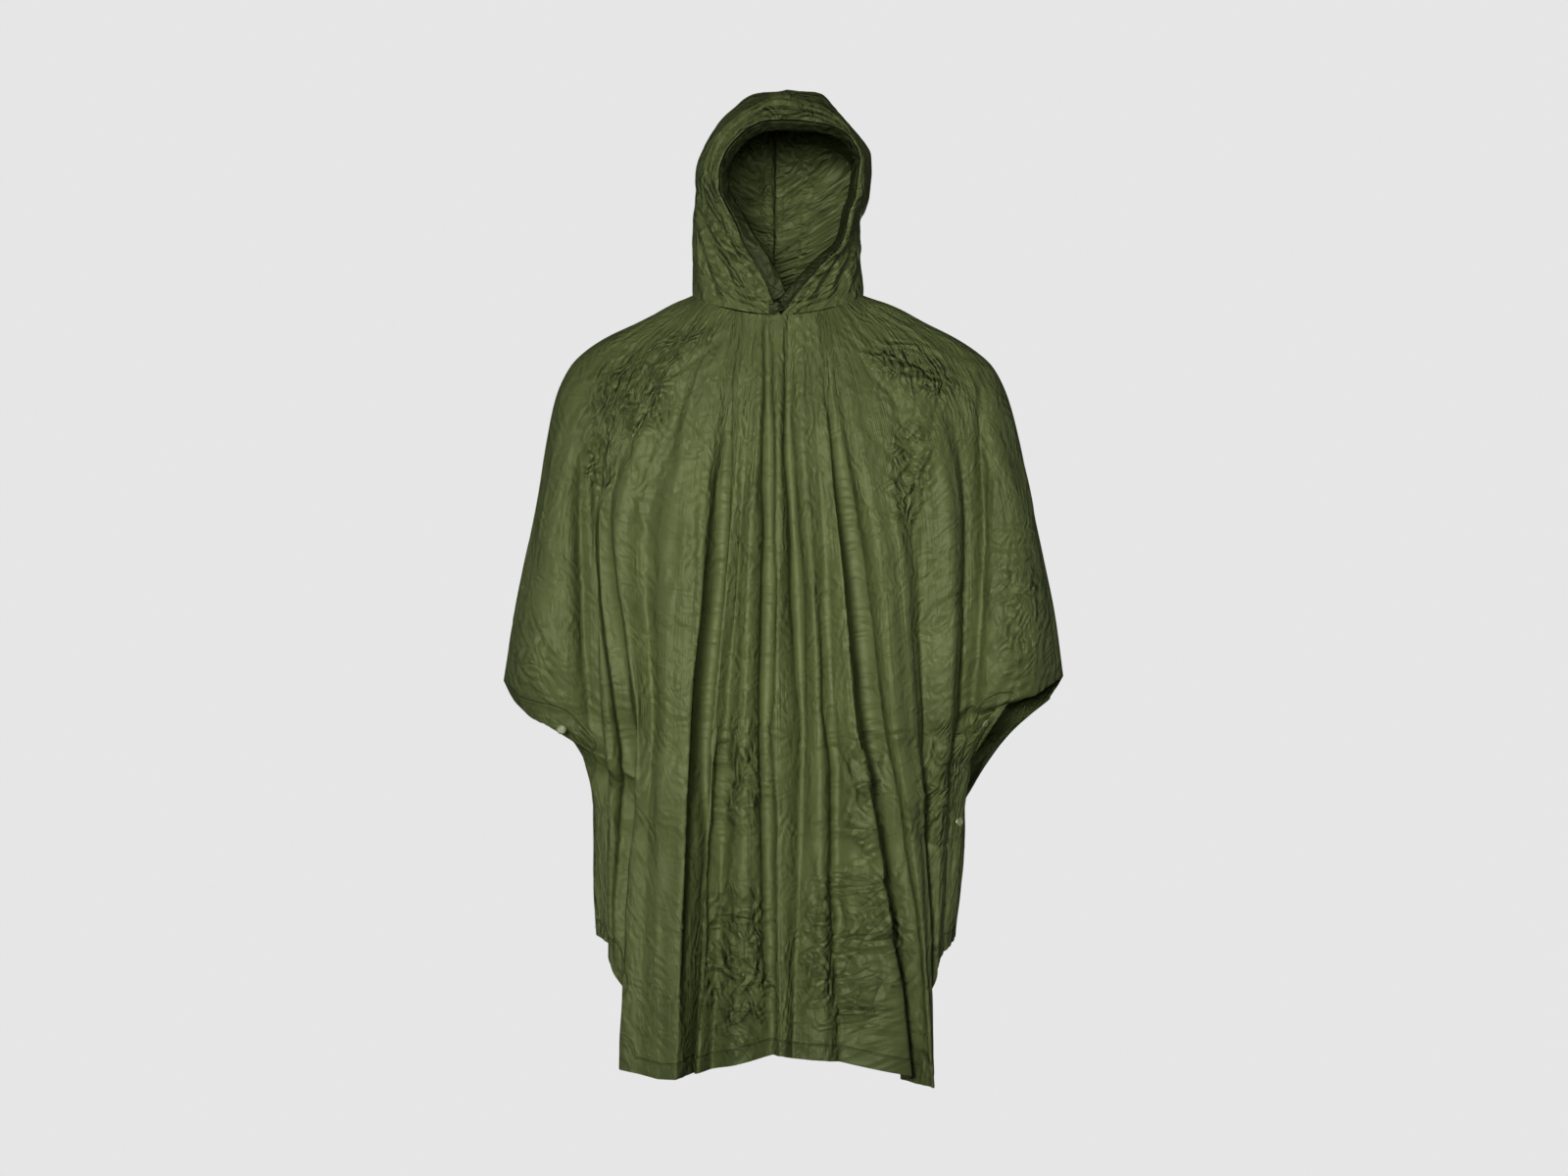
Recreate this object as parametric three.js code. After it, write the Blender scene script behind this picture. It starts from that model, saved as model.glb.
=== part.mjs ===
// Hooded rain poncho of thin olive vinyl, hanging as it is worn, with nobody in it.
// Millimetres. +Z is up, the face opening looks along -Y, and +X is to its right as seen from the front.
// The origin is on the level of the shoulder tops, in the middle of the neck.
import * as THREE from "three";

// Sizes of the cloth.
const WALL = 2;
const SEAM_GAP = 0.3;
const NECK_GAP = 0.5;

// Neck seam: half widths, reach and heights.
const NECK_LEFT = -113;
const NECK_RIGHT = 105;
const NECK_SIDE_Z = 4;
const NECK_FRONT = { y: -92, z: -28 };
const NECK_BACK = { y: 88, z: 14 };

// How far down the cloth the sleeve mouth starts and ends. 0 is the neck seam and 1 the bottom hem.
const MOUTH_TOP = 0.57;
const MOUTH_END = 0.78;

// Levels that the fold tables are given at, from the neck seam to the bottom hem.
const LEVELS = [0, 0.15, 0.35, 0.56, 0.78, 1];

// Middle of the front and of the back: reach from the shoulder line, and height, at each level.
const FRONT_REACH = [92, 128, 148, 150, 151, 158];
const FRONT_HEIGHT = [-28, -168, -349, -541, -742, -944];
const BACK_REACH = [88, 138, 150, 146, 150, 164];
const BACK_HEIGHT = [14, -140, -336, -535, -745, -958];
// Squareness of the cross-section at each level.
const SQUARENESS = [2, 2, 2, 2.05, 2.35, 2.6];

// Fold over the shoulder and arm, from the neck to the sleeve's outer corner.
const SHOULDER_LEFT = [
  { x: -113, z: 4 }, { x: -146, z: -12 }, { x: -184, z: -31 }, { x: -224, z: -50 },
  { x: -252, z: -69 }, { x: -269, z: -87 }, { x: -287, z: -125 }, { x: -299, z: -181 },
  { x: -311, z: -256 }, { x: -326, z: -331 }, { x: -341, z: -406 }, { x: -354, z: -487 },
];
const SHOULDER_RIGHT = [
  { x: 105, z: 4 }, { x: 149, z: -12 }, { x: 184, z: -31 }, { x: 222, z: -50 },
  { x: 251, z: -69 }, { x: 270, z: -87 }, { x: 289, z: -125 }, { x: 304, z: -181 },
  { x: 319, z: -256 }, { x: 335, z: -331 }, { x: 350, z: -406 }, { x: 360, z: -481 },
];

// Edges of the sleeve mouths, from the outer corner in to the underarm.
const MOUTH_FRONT_LEFT = [
  { x: -354, z: -487 }, { x: -342, z: -511 }, { x: -308, z: -528 }, { x: -273, z: -545 },
  { x: -252, z: -568 }, { x: -243, z: -597 }, { x: -237, z: -645 },
];
const MOUTH_BACK_LEFT = [
  { x: -354, z: -487 }, { x: -334, z: -503 }, { x: -300, z: -516 }, { x: -270, z: -534 },
  { x: -252, z: -560 }, { x: -243, z: -592 }, { x: -237, z: -645 },
];
const MOUTH_FRONT_RIGHT = [
  { x: 360, z: -481 }, { x: 328, z: -484 }, { x: 291, z: -502 }, { x: 261, z: -535 },
  { x: 245, z: -572 }, { x: 238, z: -604 }, { x: 234, z: -633 },
];
const MOUTH_BACK_RIGHT = [
  { x: 360, z: -481 }, { x: 347, z: -505 }, { x: 318, z: -532 }, { x: 290, z: -558 },
  { x: 265, z: -590 }, { x: 248, z: -615 }, { x: 234, z: -633 },
];
const MOUTH_BULGE = 52;

// Sides below the underarm, where front and back edges are fastened, down to the rounded corners.
const SIDE_LEFT = [
  { x: -237, z: -645 }, { x: -236, z: -700 }, { x: -237, z: -750 }, { x: -237, z: -803 },
];
const SIDE_RIGHT = [
  { x: 234, z: -633 }, { x: 231, z: -700 }, { x: 227, z: -755 }, { x: 221, z: -812 },
];

// Folds of the front. x is where the fold line runs at each level, out is how far it stands
// off the smooth section (troughs are negative), and hem is the height of the bottom hem there.
const FRONT_FOLDS = [
  { name: "sleeve_left", x: [-109, -226, -291, -314, -233, -233], out: [0, 0, 4, 5, 0, 0], hem: -806 },
  { name: "arm_trough_left", x: [-103, -200, -249, -243, -226, -224], out: [0, -2, -34, -46, -13, -6], hem: -815 },
  { name: "side_ridge_left", x: [-97, -184, -238, -221, -212, -210], out: [0, 0, -4, -2, 3, 4], hem: -838 },
  { name: "flank_trough_left", x: [-91, -170, -225, -198, -196, -197], out: [0, -2, -20, -34, -40, -34], hem: -902 },
  { name: "front_fold_left", x: [-84, -152, -203, -178, -188, -195], out: [0, 0, 4, 8, 10, 8], hem: -967 },
  { name: "chest_trough_left", x: [-76, -134, -174, -162, -168, -172], out: [0, -4, -16, -12, 0, 2], hem: -972 },
  { name: "ridge_left", x: [-67, -112, -130, -140, -148, -150], out: [0, 2, 8, 8, 7, 5], hem: -976 },
  { name: "lip_left", x: [-59, -88, -95, -109, -117, -127], out: [0, 2, 9, 11, 10, 9], hem: -975 },
  { name: "main_trough_left", x: [-51, -66, -80, -98, -107, -117], out: [0, -5, -44, -56, -60, -50], hem: -971 },
  { name: "thin_ridge_left", x: [-43, -54, -66, -84, -92, -102], out: [0, 0, 5, 6, 6, 4], hem: -967 },
  { name: "soft_trough_left", x: [-35, -42, -54, -68, -78, -88], out: [0, -2, -9, -14, -22, -20], hem: -964 },
  { name: "panel_left", x: [-26, -30, -40, -44, -46, -52], out: [1, 3, 9, 9, 8, 6], hem: -955 },
  { name: "pleat_line_left", x: [-17, -15, -15, -20, -16, -10], out: [-2, -9, -20, -18, -17, -12], hem: -945 },
  { name: "pleat_ridge", x: [-4, -4, -3, -5, -3, 2], out: [3, 6, 7, 6, 6, 5], hem: -945 },
  { name: "pleat_line_right", x: [9, 9, 19, 27, 22, 14], out: [-2, -9, -26, -16, -12, -9], hem: -949 },
  { name: "ridge_right", x: [21, 26, 38, 48, 50, 54], out: [1, 3, 6, 7, 6, 5], hem: -951 },
  { name: "soft_trough_right", x: [32, 42, 56, 66, 70, 74], out: [0, -2, -6, -11, -15, -12], hem: -954 },
  { name: "panel_right", x: [42, 56, 76, 92, 129, 154], out: [0, 1, 8, 9, 9, 9], hem: -972 },
  { name: "main_trough_right", x: [51, 68, 91, 113, 151, 176], out: [0, -6, -40, -48, -52, -42], hem: -984 },
  { name: "pipe_fold_right", x: [60, 90, 122, 138, 165, 181], out: [0, 2, 12, 14, 15, 12], hem: -990 },
  { name: "pipe_edge_right", x: [69, 115, 147, 162, 179, 187], out: [0, 0, 4, 4, 6, 5], hem: -976 },
  { name: "flank_trough_right", x: [79, 145, 172, 184, 193, 194], out: [0, -3, -10, -16, -26, -28], hem: -915 },
  { name: "side_ridge_right", x: [88, 175, 218, 214, 204, 198], out: [0, 0, 3, 2, 3, 3], hem: -846 },
  { name: "arm_trough_right", x: [96, 200, 249, 240, 222, 209], out: [0, -2, -38, -46, -12, -6], hem: -826 },
  { name: "sleeve_right", x: [101, 228, 295, 318, 229, 217], out: [0, 0, 4, 5, 0, 0], hem: -817 },
];

// Folds of the back, given the same way.
const BACK_FOLDS = [
  { name: "sleeve_left", x: [-109, -228, -294, -314, -233, -233], out: [0, 0, 6, 8, 0, 0], hem: -808 },
  { name: "arm_trough_left", x: [-100, -200, -250, -244, -226, -222], out: [0, -3, -30, -40, -12, -6], hem: -826 },
  { name: "side_ridge_left", x: [-88, -170, -216, -210, -208, -206], out: [0, 0, 6, 8, 4, 2], hem: -858 },
  { name: "flank_trough_left", x: [-75, -138, -184, -178, -187, -192], out: [0, -4, -16, -26, -28, -16], hem: -902 },
  { name: "ridge_left", x: [-62, -110, -150, -150, -162, -170], out: [0, 2, 8, 12, 12, 10], hem: -958 },
  { name: "main_trough_left", x: [-48, -82, -112, -118, -128, -135], out: [0, -2, -14, -30, -40, -36], hem: -968 },
  { name: "panel_left", x: [-34, -56, -78, -86, -98, -106], out: [0, 3, 8, 12, 14, 12], hem: -966 },
  { name: "centre_trough_left", x: [-20, -31, -44, -52, -60, -66], out: [0, -4, -12, -18, -22, -20], hem: -962 },
  { name: "centre_ridge", x: [-4, -6, -10, -14, -18, -22], out: [0, 2, 6, 8, 8, 8], hem: -959 },
  { name: "centre_trough_right", x: [13, 20, 24, 26, 26, 24], out: [-1, -6, -16, -22, -26, -24], hem: -957 },
  { name: "panel_right", x: [29, 48, 60, 66, 70, 72], out: [0, 3, 8, 10, 12, 12], hem: -962 },
  { name: "main_trough_right", x: [45, 76, 96, 106, 118, 124], out: [0, -3, -14, -30, -44, -40], hem: -968 },
  { name: "ridge_right", x: [60, 108, 136, 142, 152, 160], out: [0, 2, 8, 12, 14, 12], hem: -960 },
  { name: "flank_trough_right", x: [74, 140, 178, 178, 184, 186], out: [0, -4, -18, -28, -26, -16], hem: -904 },
  { name: "side_ridge_right", x: [86, 172, 216, 210, 205, 200], out: [0, 0, 6, 8, 4, 2], hem: -862 },
  { name: "arm_trough_right", x: [95, 202, 250, 242, 222, 210], out: [0, -3, -32, -42, -12, -6], hem: -834 },
  { name: "sleeve_right", x: [101, 230, 297, 318, 230, 218], out: [0, 0, 6, 8, 0, 0], hem: -820 },
];

// Hood: seam over the crown and down the back, from the forehead to the neck.
const CROWN_SEAM = [
  { y: -104, z: 215 }, { y: -84, z: 240 }, { y: -42, z: 258 }, { y: 8, z: 266 },
  { y: 60, z: 257 }, { y: 105, z: 231 }, { y: 135, z: 190 }, { y: 146, z: 140 },
  { y: 138, z: 92 }, { y: 119, z: 52 }, { y: 98, z: 26 }, { y: 88, z: 14 },
];
const CROWN_MIDDLE = 8;
const HOOD_TOP = 266;

// Half width of the hood at each height. The crown is flat, with a sloping shoulder on each side.
const WIDTH_LEFT = [
  { x: 113, z: 4 }, { x: 112, z: 72 }, { x: 110, z: 142 }, { x: 109, z: 162 }, { x: 98, z: 195 },
  { x: 80, z: 223 }, { x: 56, z: 245 }, { x: 38, z: 260 }, { x: 22, z: 265 }, { x: 0, z: HOOD_TOP },
];
const WIDTH_RIGHT = [
  { x: 104, z: 4 }, { x: 101, z: 40 }, { x: 102, z: 72 }, { x: 104, z: 98 }, { x: 113, z: 132 },
  { x: 115, z: 162 }, { x: 114, z: 182 }, { x: 101, z: 205 }, { x: 85, z: 225 }, { x: 70, z: 243 },
  { x: 56, z: 260 }, { x: 42, z: 265 }, { x: 0, z: HOOD_TOP },
];

// How far the hood reaches before and behind the middle of the crown at each height.
const HOOD_FRONT_REACH = [
  { y: 142, z: -30 }, { y: 135, z: 150 }, { y: 115, z: 215 }, { y: 92, z: 240 },
  { y: 50, z: 258 }, { y: 0.01, z: HOOD_TOP },
];
const HOOD_BACK_REACH = [
  { y: 80, z: 14 }, { y: 90, z: 26 }, { y: 111, z: 52 }, { y: 130, z: 92 }, { y: 138, z: 140 },
  { y: 127, z: 190 }, { y: 97, z: 231 }, { y: 52, z: 257 }, { y: 0.01, z: HOOD_TOP },
];

// Rim of the face opening on each side, from the throat up to the middle of the brim.
const RIM_LEFT = [
  { x: 0, z: -28 }, { x: 10, z: -12 }, { x: 21, z: 15 }, { x: 35, z: 40 }, { x: 47, z: 60 },
  { x: 56, z: 84 }, { x: 63, z: 98 }, { x: 70, z: 111 }, { x: 78, z: 131 }, { x: 78, z: 150 },
  { x: 71, z: 173 }, { x: 59, z: 189 }, { x: 39, z: 206 }, { x: 16, z: 214 }, { x: 0, z: 215 },
];
const RIM_RIGHT = [
  { x: 0, z: -28 }, { x: 17, z: -5 }, { x: 37, z: 19 }, { x: 56, z: 41 }, { x: 75, z: 60 },
  { x: 82, z: 80 }, { x: 86, z: 101 }, { x: 94, z: 123 }, { x: 97, z: 146 }, { x: 99, z: 166 },
  { x: 90, z: 189 }, { x: 76, z: 202 }, { x: 54, z: 210 }, { x: 22, z: 214 }, { x: 0, z: 215 },
];
// The rim falls back this far at the cheeks, and the hood widens behind it by so much a unit of d.
const CHEEK_REACH = 14;
const RIM_FLARE = 40;

// Casing round the face opening. It leans back on its way in by so much of its width, from its
// left end (-1) over the middle of the brim (0) to its right end (1).
const CASING_WIDTH = 20;
const CASING_WALL = 2;
const CASING_INSET = 1.3;
const CASING_LIFT = 4.4;
const CASING_LEAN = [
  { place: -1, lean: 0.12 }, { place: -0.72, lean: 0.2 }, { place: -0.55, lean: 0.9 },
  { place: -0.3, lean: 1.5 }, { place: 0, lean: 1.3 }, { place: 0.3, lean: 1.9 },
  { place: 0.62, lean: 1.9 }, { place: 0.8, lean: 0.9 }, { place: 1, lean: 0 },
];

// Snap caps on the edges of the front.
const SNAP_RADIUS = 6;
const SNAP_HEIGHT = 2.4;
const SNAPS = [
  { name: "snap_sleeve_left", fold: 1.33, v: 0.617 },
  { name: "snap_sleeve_right", fold: 24.67, v: 0.663 },
  { name: "snap_underarm_left", fold: 1.17, v: 0.804 },
  { name: "snap_underarm_right", fold: 24.83, v: 0.792 },
];

// Colours and finish.
const VINYL = new THREE.MeshStandardMaterial({ color: "#4e5732", roughness: 0.42, metalness: 0 });
VINYL.name = "olive_vinyl";
const VINYL_CASING = new THREE.MeshStandardMaterial({ color: "#454d2c", roughness: 0.45, metalness: 0 });
VINYL_CASING.name = "olive_vinyl_casing";
const SNAP_PLASTIC = new THREE.MeshStandardMaterial({ color: "#59623f", roughness: 0.3, metalness: 0 });
SNAP_PLASTIC.name = "olive_snap_plastic";

// A smooth line through values at rising places, with no overshoot between them.
function curve(at, values) {
  const n = at.length;
  const slopes = [];
  for (let i = 0; i < n - 1; i += 1) {
    slopes.push((values[i + 1] - values[i]) / (at[i + 1] - at[i]));
  }
  const turns = [slopes[0]];
  for (let i = 1; i < n - 1; i += 1) {
    const a = slopes[i - 1];
    const b = slopes[i];
    turns.push(a * b <= 0 ? 0 : (2 * a * b) / (a + b));
  }
  turns.push(slopes[n - 2]);
  return (t) => {
    const c = Math.min(Math.max(t, at[0]), at[n - 1]);
    let i = 0;
    while (i < n - 2 && c > at[i + 1]) i += 1;
    const h = at[i + 1] - at[i];
    const u = (c - at[i]) / h;
    const u2 = u * u;
    const u3 = u2 * u;
    return (
      (2 * u3 - 3 * u2 + 1) * values[i] +
      (u3 - 2 * u2 + u) * h * turns[i] +
      (3 * u2 - 2 * u3) * values[i + 1] +
      (u3 - u2) * h * turns[i + 1]
    );
  };
}

// A path through points, run along from 0 to 1 by its length.
function path(points, axes) {
  const far = [0];
  for (let i = 1; i < points.length; i += 1) {
    const step = Math.hypot(...axes.map((a) => points[i][a] - points[i - 1][a]));
    far.push(far[i - 1] + step);
  }
  const at = far.map((f) => f / far[far.length - 1]);
  const lines = axes.map((a) => curve(at, points.map((p) => p[a])));
  return (t) => Object.fromEntries(axes.map((a, i) => [a, lines[i](t)]));
}

const mix = (a, b, t) => a + (b - a) * t;
const smooth = (a, b, t) => {
  const u = Math.min(Math.max((t - a) / (b - a), 0), 1);
  return u * u * (3 - 2 * u);
};

// Edge of a panel at v: shoulder fold, then sleeve mouth, then fastened side.
function edgeLine(shoulder, mouth, side, facing) {
  const top = path(shoulder, ["x", "z"]);
  const middle = path(mouth, ["x", "z"]);
  const low = path(side, ["x", "z"]);
  return (v) => {
    const y = (facing * SEAM_GAP) / 2;
    if (v <= MOUTH_TOP) return { ...top(v / MOUTH_TOP), y };
    if (v >= MOUTH_END) return { ...low((v - MOUTH_END) / (1 - MOUTH_END)), y };
    const t = (v - MOUTH_TOP) / (MOUTH_END - MOUTH_TOP);
    return { ...middle(t), y: y + facing * MOUTH_BULGE * Math.sin(Math.PI * t) ** 0.8 };
  };
}

// One panel of the body: a point for each fold line position k (a whole number on a fold) and level v.
function panelSurface({ folds, reach, height, left, right, facing, hemLeft, hemRight }) {
  const reachAt = curve(LEVELS, reach);
  const heightAt = curve(LEVELS, height);
  const squareAt = curve(LEVELS, SQUARENESS);
  const last = folds.length + 1;
  const lines = folds.map((f) => ({ x: curve(LEVELS, f.x), out: curve(LEVELS, f.out), hem: f.hem }));
  const line = (k, v) => {
    if (k === 0) return { x: left(v).x, out: 0, hem: hemLeft };
    if (k === last) return { x: right(v).x, out: 0, hem: hemRight };
    const f = lines[k - 1];
    return { x: f.x(v), out: f.out(v), hem: f.hem };
  };
  const base = (x, v) => {
    const l = left(v);
    const r = right(v);
    const half = (r.x - l.x) / 2;
    const a = Math.min(Math.max((x - (l.x + r.x) / 2) / half, -1), 1);
    const n = squareAt(v);
    const cap = (1 - Math.abs(a) ** n) ** (1 / n);
    const edgeY = mix(l.y, r.y, (a + 1) / 2);
    const edgeZ = mix(l.z, r.z, (a + 1) / 2);
    const y = mix(edgeY, facing * reachAt(v), cap);
    const z = mix(edgeZ, heightAt(v), cap ** 1.6);
    const outX = (Math.abs(a) ** (n - 1) * Math.sign(a)) / half;
    const outY = (facing * cap ** (n - 1)) / reachAt(v);
    const size = Math.hypot(outX, outY);
    return { x, y, z, outX: outX / size, outY: outY / size, a };
  };
  return (k, v) => {
    const k0 = Math.max(Math.min(Math.floor(k), last - 1), 0);
    const t = Math.min(Math.max(k - k0, 0), 1);
    const p = line(k0, v);
    const q = line(k0 + 1, v);
    const soft = (1 - Math.cos(Math.PI * t)) / 2;
    const b = base(mix(p.x, q.x, t), v);
    const out = mix(p.out, q.out, soft);
    const atHem = base(mix(p.x, q.x, t), 1);
    const fall = (mix(p.hem, q.hem, t) - atHem.z) * smooth(0.55, 1, v);
    return new THREE.Vector3(b.x + b.outX * out, b.y + b.outY * out, b.z + fall);
  };
}

// Normal of a grid of points at row i and column j, from its neighbours.
function gridNormal(grid, i, j) {
  const rows = grid.length;
  const cols = grid[0].length;
  const down = grid[Math.min(i + 1, rows - 1)][j].clone().sub(grid[Math.max(i - 1, 0)][j]);
  const along = grid[i][Math.min(j + 1, cols - 1)].clone().sub(grid[i][Math.max(j - 1, 0)]);
  return along.cross(down).normalize();
}

// A closed wall between a grid of outer points and a grid of inner points.
function closedWall(name, outer, inner, material) {
  const rows = outer.length;
  const cols = outer[0].length;
  const points = [];
  const index = [];
  const seen = new Map();
  const add = (p) => {
    const key = [p.x, p.y, p.z].map((c) => Math.round(c * 1e4)).join(",");
    if (!seen.has(key)) {
      seen.set(key, points.length / 3);
      points.push(p.x, p.y, p.z);
    }
    return seen.get(key);
  };
  const face = (a, b, c) => {
    const ids = [add(a), add(b), add(c)];
    if (new Set(ids).size === 3) index.push(...ids);
  };
  const quad = (a, b, c, d) => {
    face(a, b, c);
    face(a, c, d);
  };
  for (let i = 0; i < rows - 1; i += 1) {
    for (let j = 0; j < cols - 1; j += 1) {
      quad(outer[i][j], outer[i + 1][j], outer[i + 1][j + 1], outer[i][j + 1]);
      quad(inner[i][j], inner[i][j + 1], inner[i + 1][j + 1], inner[i + 1][j]);
    }
  }
  for (let j = 0; j < cols - 1; j += 1) {
    quad(outer[0][j], outer[0][j + 1], inner[0][j + 1], inner[0][j]);
    quad(outer[rows - 1][j], inner[rows - 1][j], inner[rows - 1][j + 1], outer[rows - 1][j + 1]);
  }
  for (let i = 0; i < rows - 1; i += 1) {
    quad(outer[i][0], inner[i][0], inner[i + 1][0], outer[i + 1][0]);
    quad(outer[i][cols - 1], outer[i + 1][cols - 1], inner[i + 1][cols - 1], inner[i][cols - 1]);
  }
  let volume = 0;
  const p = (i) => new THREE.Vector3(points[3 * i], points[3 * i + 1], points[3 * i + 2]);
  for (let i = 0; i < index.length; i += 3) {
    volume += p(index[i]).dot(p(index[i + 1]).cross(p(index[i + 2])));
  }
  if (volume < 0) {
    for (let i = 0; i < index.length; i += 3) {
      [index[i + 1], index[i + 2]] = [index[i + 2], index[i + 1]];
    }
  }
  const geometry = new THREE.BufferGeometry();
  geometry.setAttribute("position", new THREE.Float32BufferAttribute(points, 3));
  geometry.setIndex(index);
  geometry.computeVertexNormals();
  const mesh = new THREE.Mesh(geometry, material);
  mesh.name = name;
  return mesh;
}

const spread = (a, b, n) => Array.from({ length: n }, (_, i) => mix(a, b, i / n));

// Rows of the panels, finer at the neck, with one on each end of the sleeve mouth.
const ROWS = [
  0, 0.02, 0.05, ...spread(0.09, MOUTH_TOP, 12), ...spread(MOUTH_TOP, MOUTH_END, 6),
  ...spread(MOUTH_END, 1, 6), 1,
];
const COLUMNS_PER_FOLD = 2;

// A place on the flat facets of a grid of points.
function facets(grid) {
  return (k, v) => {
    const i = ROWS.slice(1, -1).filter((r) => r <= v).length;
    const col = Math.min(Math.max(k * COLUMNS_PER_FOLD, 0), grid[0].length - 1.001);
    const j = Math.floor(col);
    const a = grid[i][j];
    const c = grid[i + 1][j + 1];
    const u = (v - ROWS[i]) / (ROWS[i + 1] - ROWS[i]);
    const w = col - j;
    const b = u > w ? grid[i + 1][j] : grid[i][j + 1];
    const [near, far] = u > w ? [u, w] : [w, u];
    const p = a.clone();
    return p.addScaledVector(b.clone().sub(a), near).addScaledVector(c.clone().sub(b), far);
  };
}

function panel(name, spec) {
  const surface = panelSurface(spec);
  const count = (spec.folds.length + 1) * COLUMNS_PER_FOLD;
  const outer = ROWS.map((v) =>
    Array.from({ length: count + 1 }, (_, j) => surface(j / COLUMNS_PER_FOLD, v)),
  );
  const inner = outer.map((row, i) =>
    row.map((p, j) => {
      const n = gridNormal(outer, i, j).multiplyScalar(spec.facing);
      const joined = ROWS[i] <= MOUTH_TOP || ROWS[i] >= MOUTH_END;
      if (j === 0 || j === count) {
        if (joined) n.y = 0;
      }
      if (i === 0) n.z = 0;
      n.normalize();
      if (j === 0 || j === count) {
        const away = new THREE.Vector3(j === 0 ? -1 : 1, 0, 0);
        if (n.dot(away) < 0 && joined) n.negate();
      }
      return p.clone().addScaledVector(n, -WALL);
    }),
  );
  return { mesh: closedWall(name, outer, inner, VINYL), skin: facets(outer) };
}

const FRONT = {
  folds: FRONT_FOLDS,
  reach: FRONT_REACH,
  height: FRONT_HEIGHT,
  left: edgeLine(SHOULDER_LEFT, MOUTH_FRONT_LEFT, SIDE_LEFT, -1),
  right: edgeLine(SHOULDER_RIGHT, MOUTH_FRONT_RIGHT, SIDE_RIGHT, -1),
  facing: -1,
  hemLeft: -803,
  hemRight: -812,
};
const BACK = {
  folds: BACK_FOLDS,
  reach: BACK_REACH,
  height: BACK_HEIGHT,
  left: edgeLine(SHOULDER_LEFT, MOUTH_BACK_LEFT, SIDE_LEFT, 1),
  right: edgeLine(SHOULDER_RIGHT, MOUTH_BACK_RIGHT, SIDE_RIGHT, 1),
  facing: 1,
  hemLeft: -803,
  hemRight: -812,
};

// Point of the neck seam at a turn from the throat (0) to the nape (pi), on one side.
function neckPoint(turn, side) {
  const end = turn < Math.PI / 2 ? NECK_FRONT : NECK_BACK;
  const cap = Math.abs(Math.cos(turn));
  const wide = side < 0 ? -NECK_LEFT : NECK_RIGHT;
  return new THREE.Vector3(
    side * wide * Math.sin(turn),
    end.y * cap,
    mix(NECK_SIDE_Z, end.z, cap ** 1.6),
  );
}

const crown = path(CROWN_SEAM, ["y", "z"]);
const heightTable = (rows, axis) => curve(rows.map((row) => row.z), rows.map((row) => row[axis]));
const hoodSide = (width, rim) => ({
  outline: path(width, ["x", "z"]),
  rim: path(rim, ["x", "z"]),
  wide: heightTable(width, "x"),
  rimWide: heightTable(rim, "x"),
  foot: width[0].z,
  throat: rim[0].z,
  brim: rim[rim.length - 1].z,
});
const HOOD_SIDES = { left: hoodSide(WIDTH_LEFT, RIM_LEFT), right: hoodSide(WIDTH_RIGHT, RIM_RIGHT) };
const frontReach = heightTable(HOOD_FRONT_REACH, "y");
const backReach = heightTable(HOOD_BACK_REACH, "y");

// Outward normal of a hood half at a point of its face edge.
function faceNormal(side, t) {
  const up = hoodPoint(side, Math.min(t + 0.01, 1), 0).sub(hoodPoint(side, Math.max(t - 0.01, 0), 0));
  const back = hoodPoint(side, t, 0.02).sub(hoodPoint(side, t, 0));
  const n = back.cross(up).normalize();
  return n.dot(hoodPoint(side, t, 0).sub(new THREE.Vector3(0, 20, 110))) < 0 ? n.negate() : n;
}

// Point of a hood half. d runs from the face edge (0) to the nape (1), and t from the neck seam (0)
// to the crown seam (1). Near its rim the hood keeps outside the face opening at every height.
function hoodPoint(side, t, d) {
  const form = side < 0 ? HOOD_SIDES.left : HOOD_SIDES.right;
  const foot = neckPoint(Math.PI * d, side);
  foot.z += NECK_GAP;
  const top = crown(d);
  const rise = (form.outline(t).z - form.foot) / (HOOD_TOP - form.foot);
  const y = mix(foot.y, top.y, rise);
  const level = (1 - smooth(0.15, 0.4, d)) * (rise - rise ** 3);
  const z = mix(foot.z, top.z, rise) - (top.z - CROWN_SEAM[0].z) * level;
  const off = (y - CROWN_MIDDLE) / (y < CROWN_MIDDLE ? frontReach(z) : backReach(z));
  const dome = t >= 1 ? 0 : form.wide(z) * Math.sqrt(Math.max(1 - off ** 2, 0));
  const out = mix(Math.abs(foot.x), dome, smooth(0, 0.3, rise));
  const below = smooth(1, 0.88, t);
  const face = 1 - smooth(0, 0.3, d);
  const rim = form.rim(t);
  const up = (rim.z - form.throat) / (form.brim - form.throat);
  const rimY = mix(NECK_FRONT.y, CROWN_SEAM[0].y, up) + CHEEK_REACH * Math.sin(Math.PI * up) ** 2;
  const rimZ = mix(NECK_FRONT.z + NECK_GAP, CROWN_SEAM[0].z, up);
  const p = new THREE.Vector3(mix(out, rim.x, face), mix(y, rimY, face * below), mix(z, rimZ, face * below));
  const least = (form.rimWide(p.z) + RIM_FLARE * Math.min(d, 0.15)) * below;
  p.x += Math.max(least - p.x, 0) * smooth(0, 0.04, d);
  p.x = side * Math.max(p.x, SEAM_GAP / 2);
  return p;
}

const HOOD_ACROSS = [0, 0.02, 0.05, 0.09, ...spread(0.14, 1, 15), 1];
const HOOD_UP = [...spread(0, 1, 18), 1];

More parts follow.
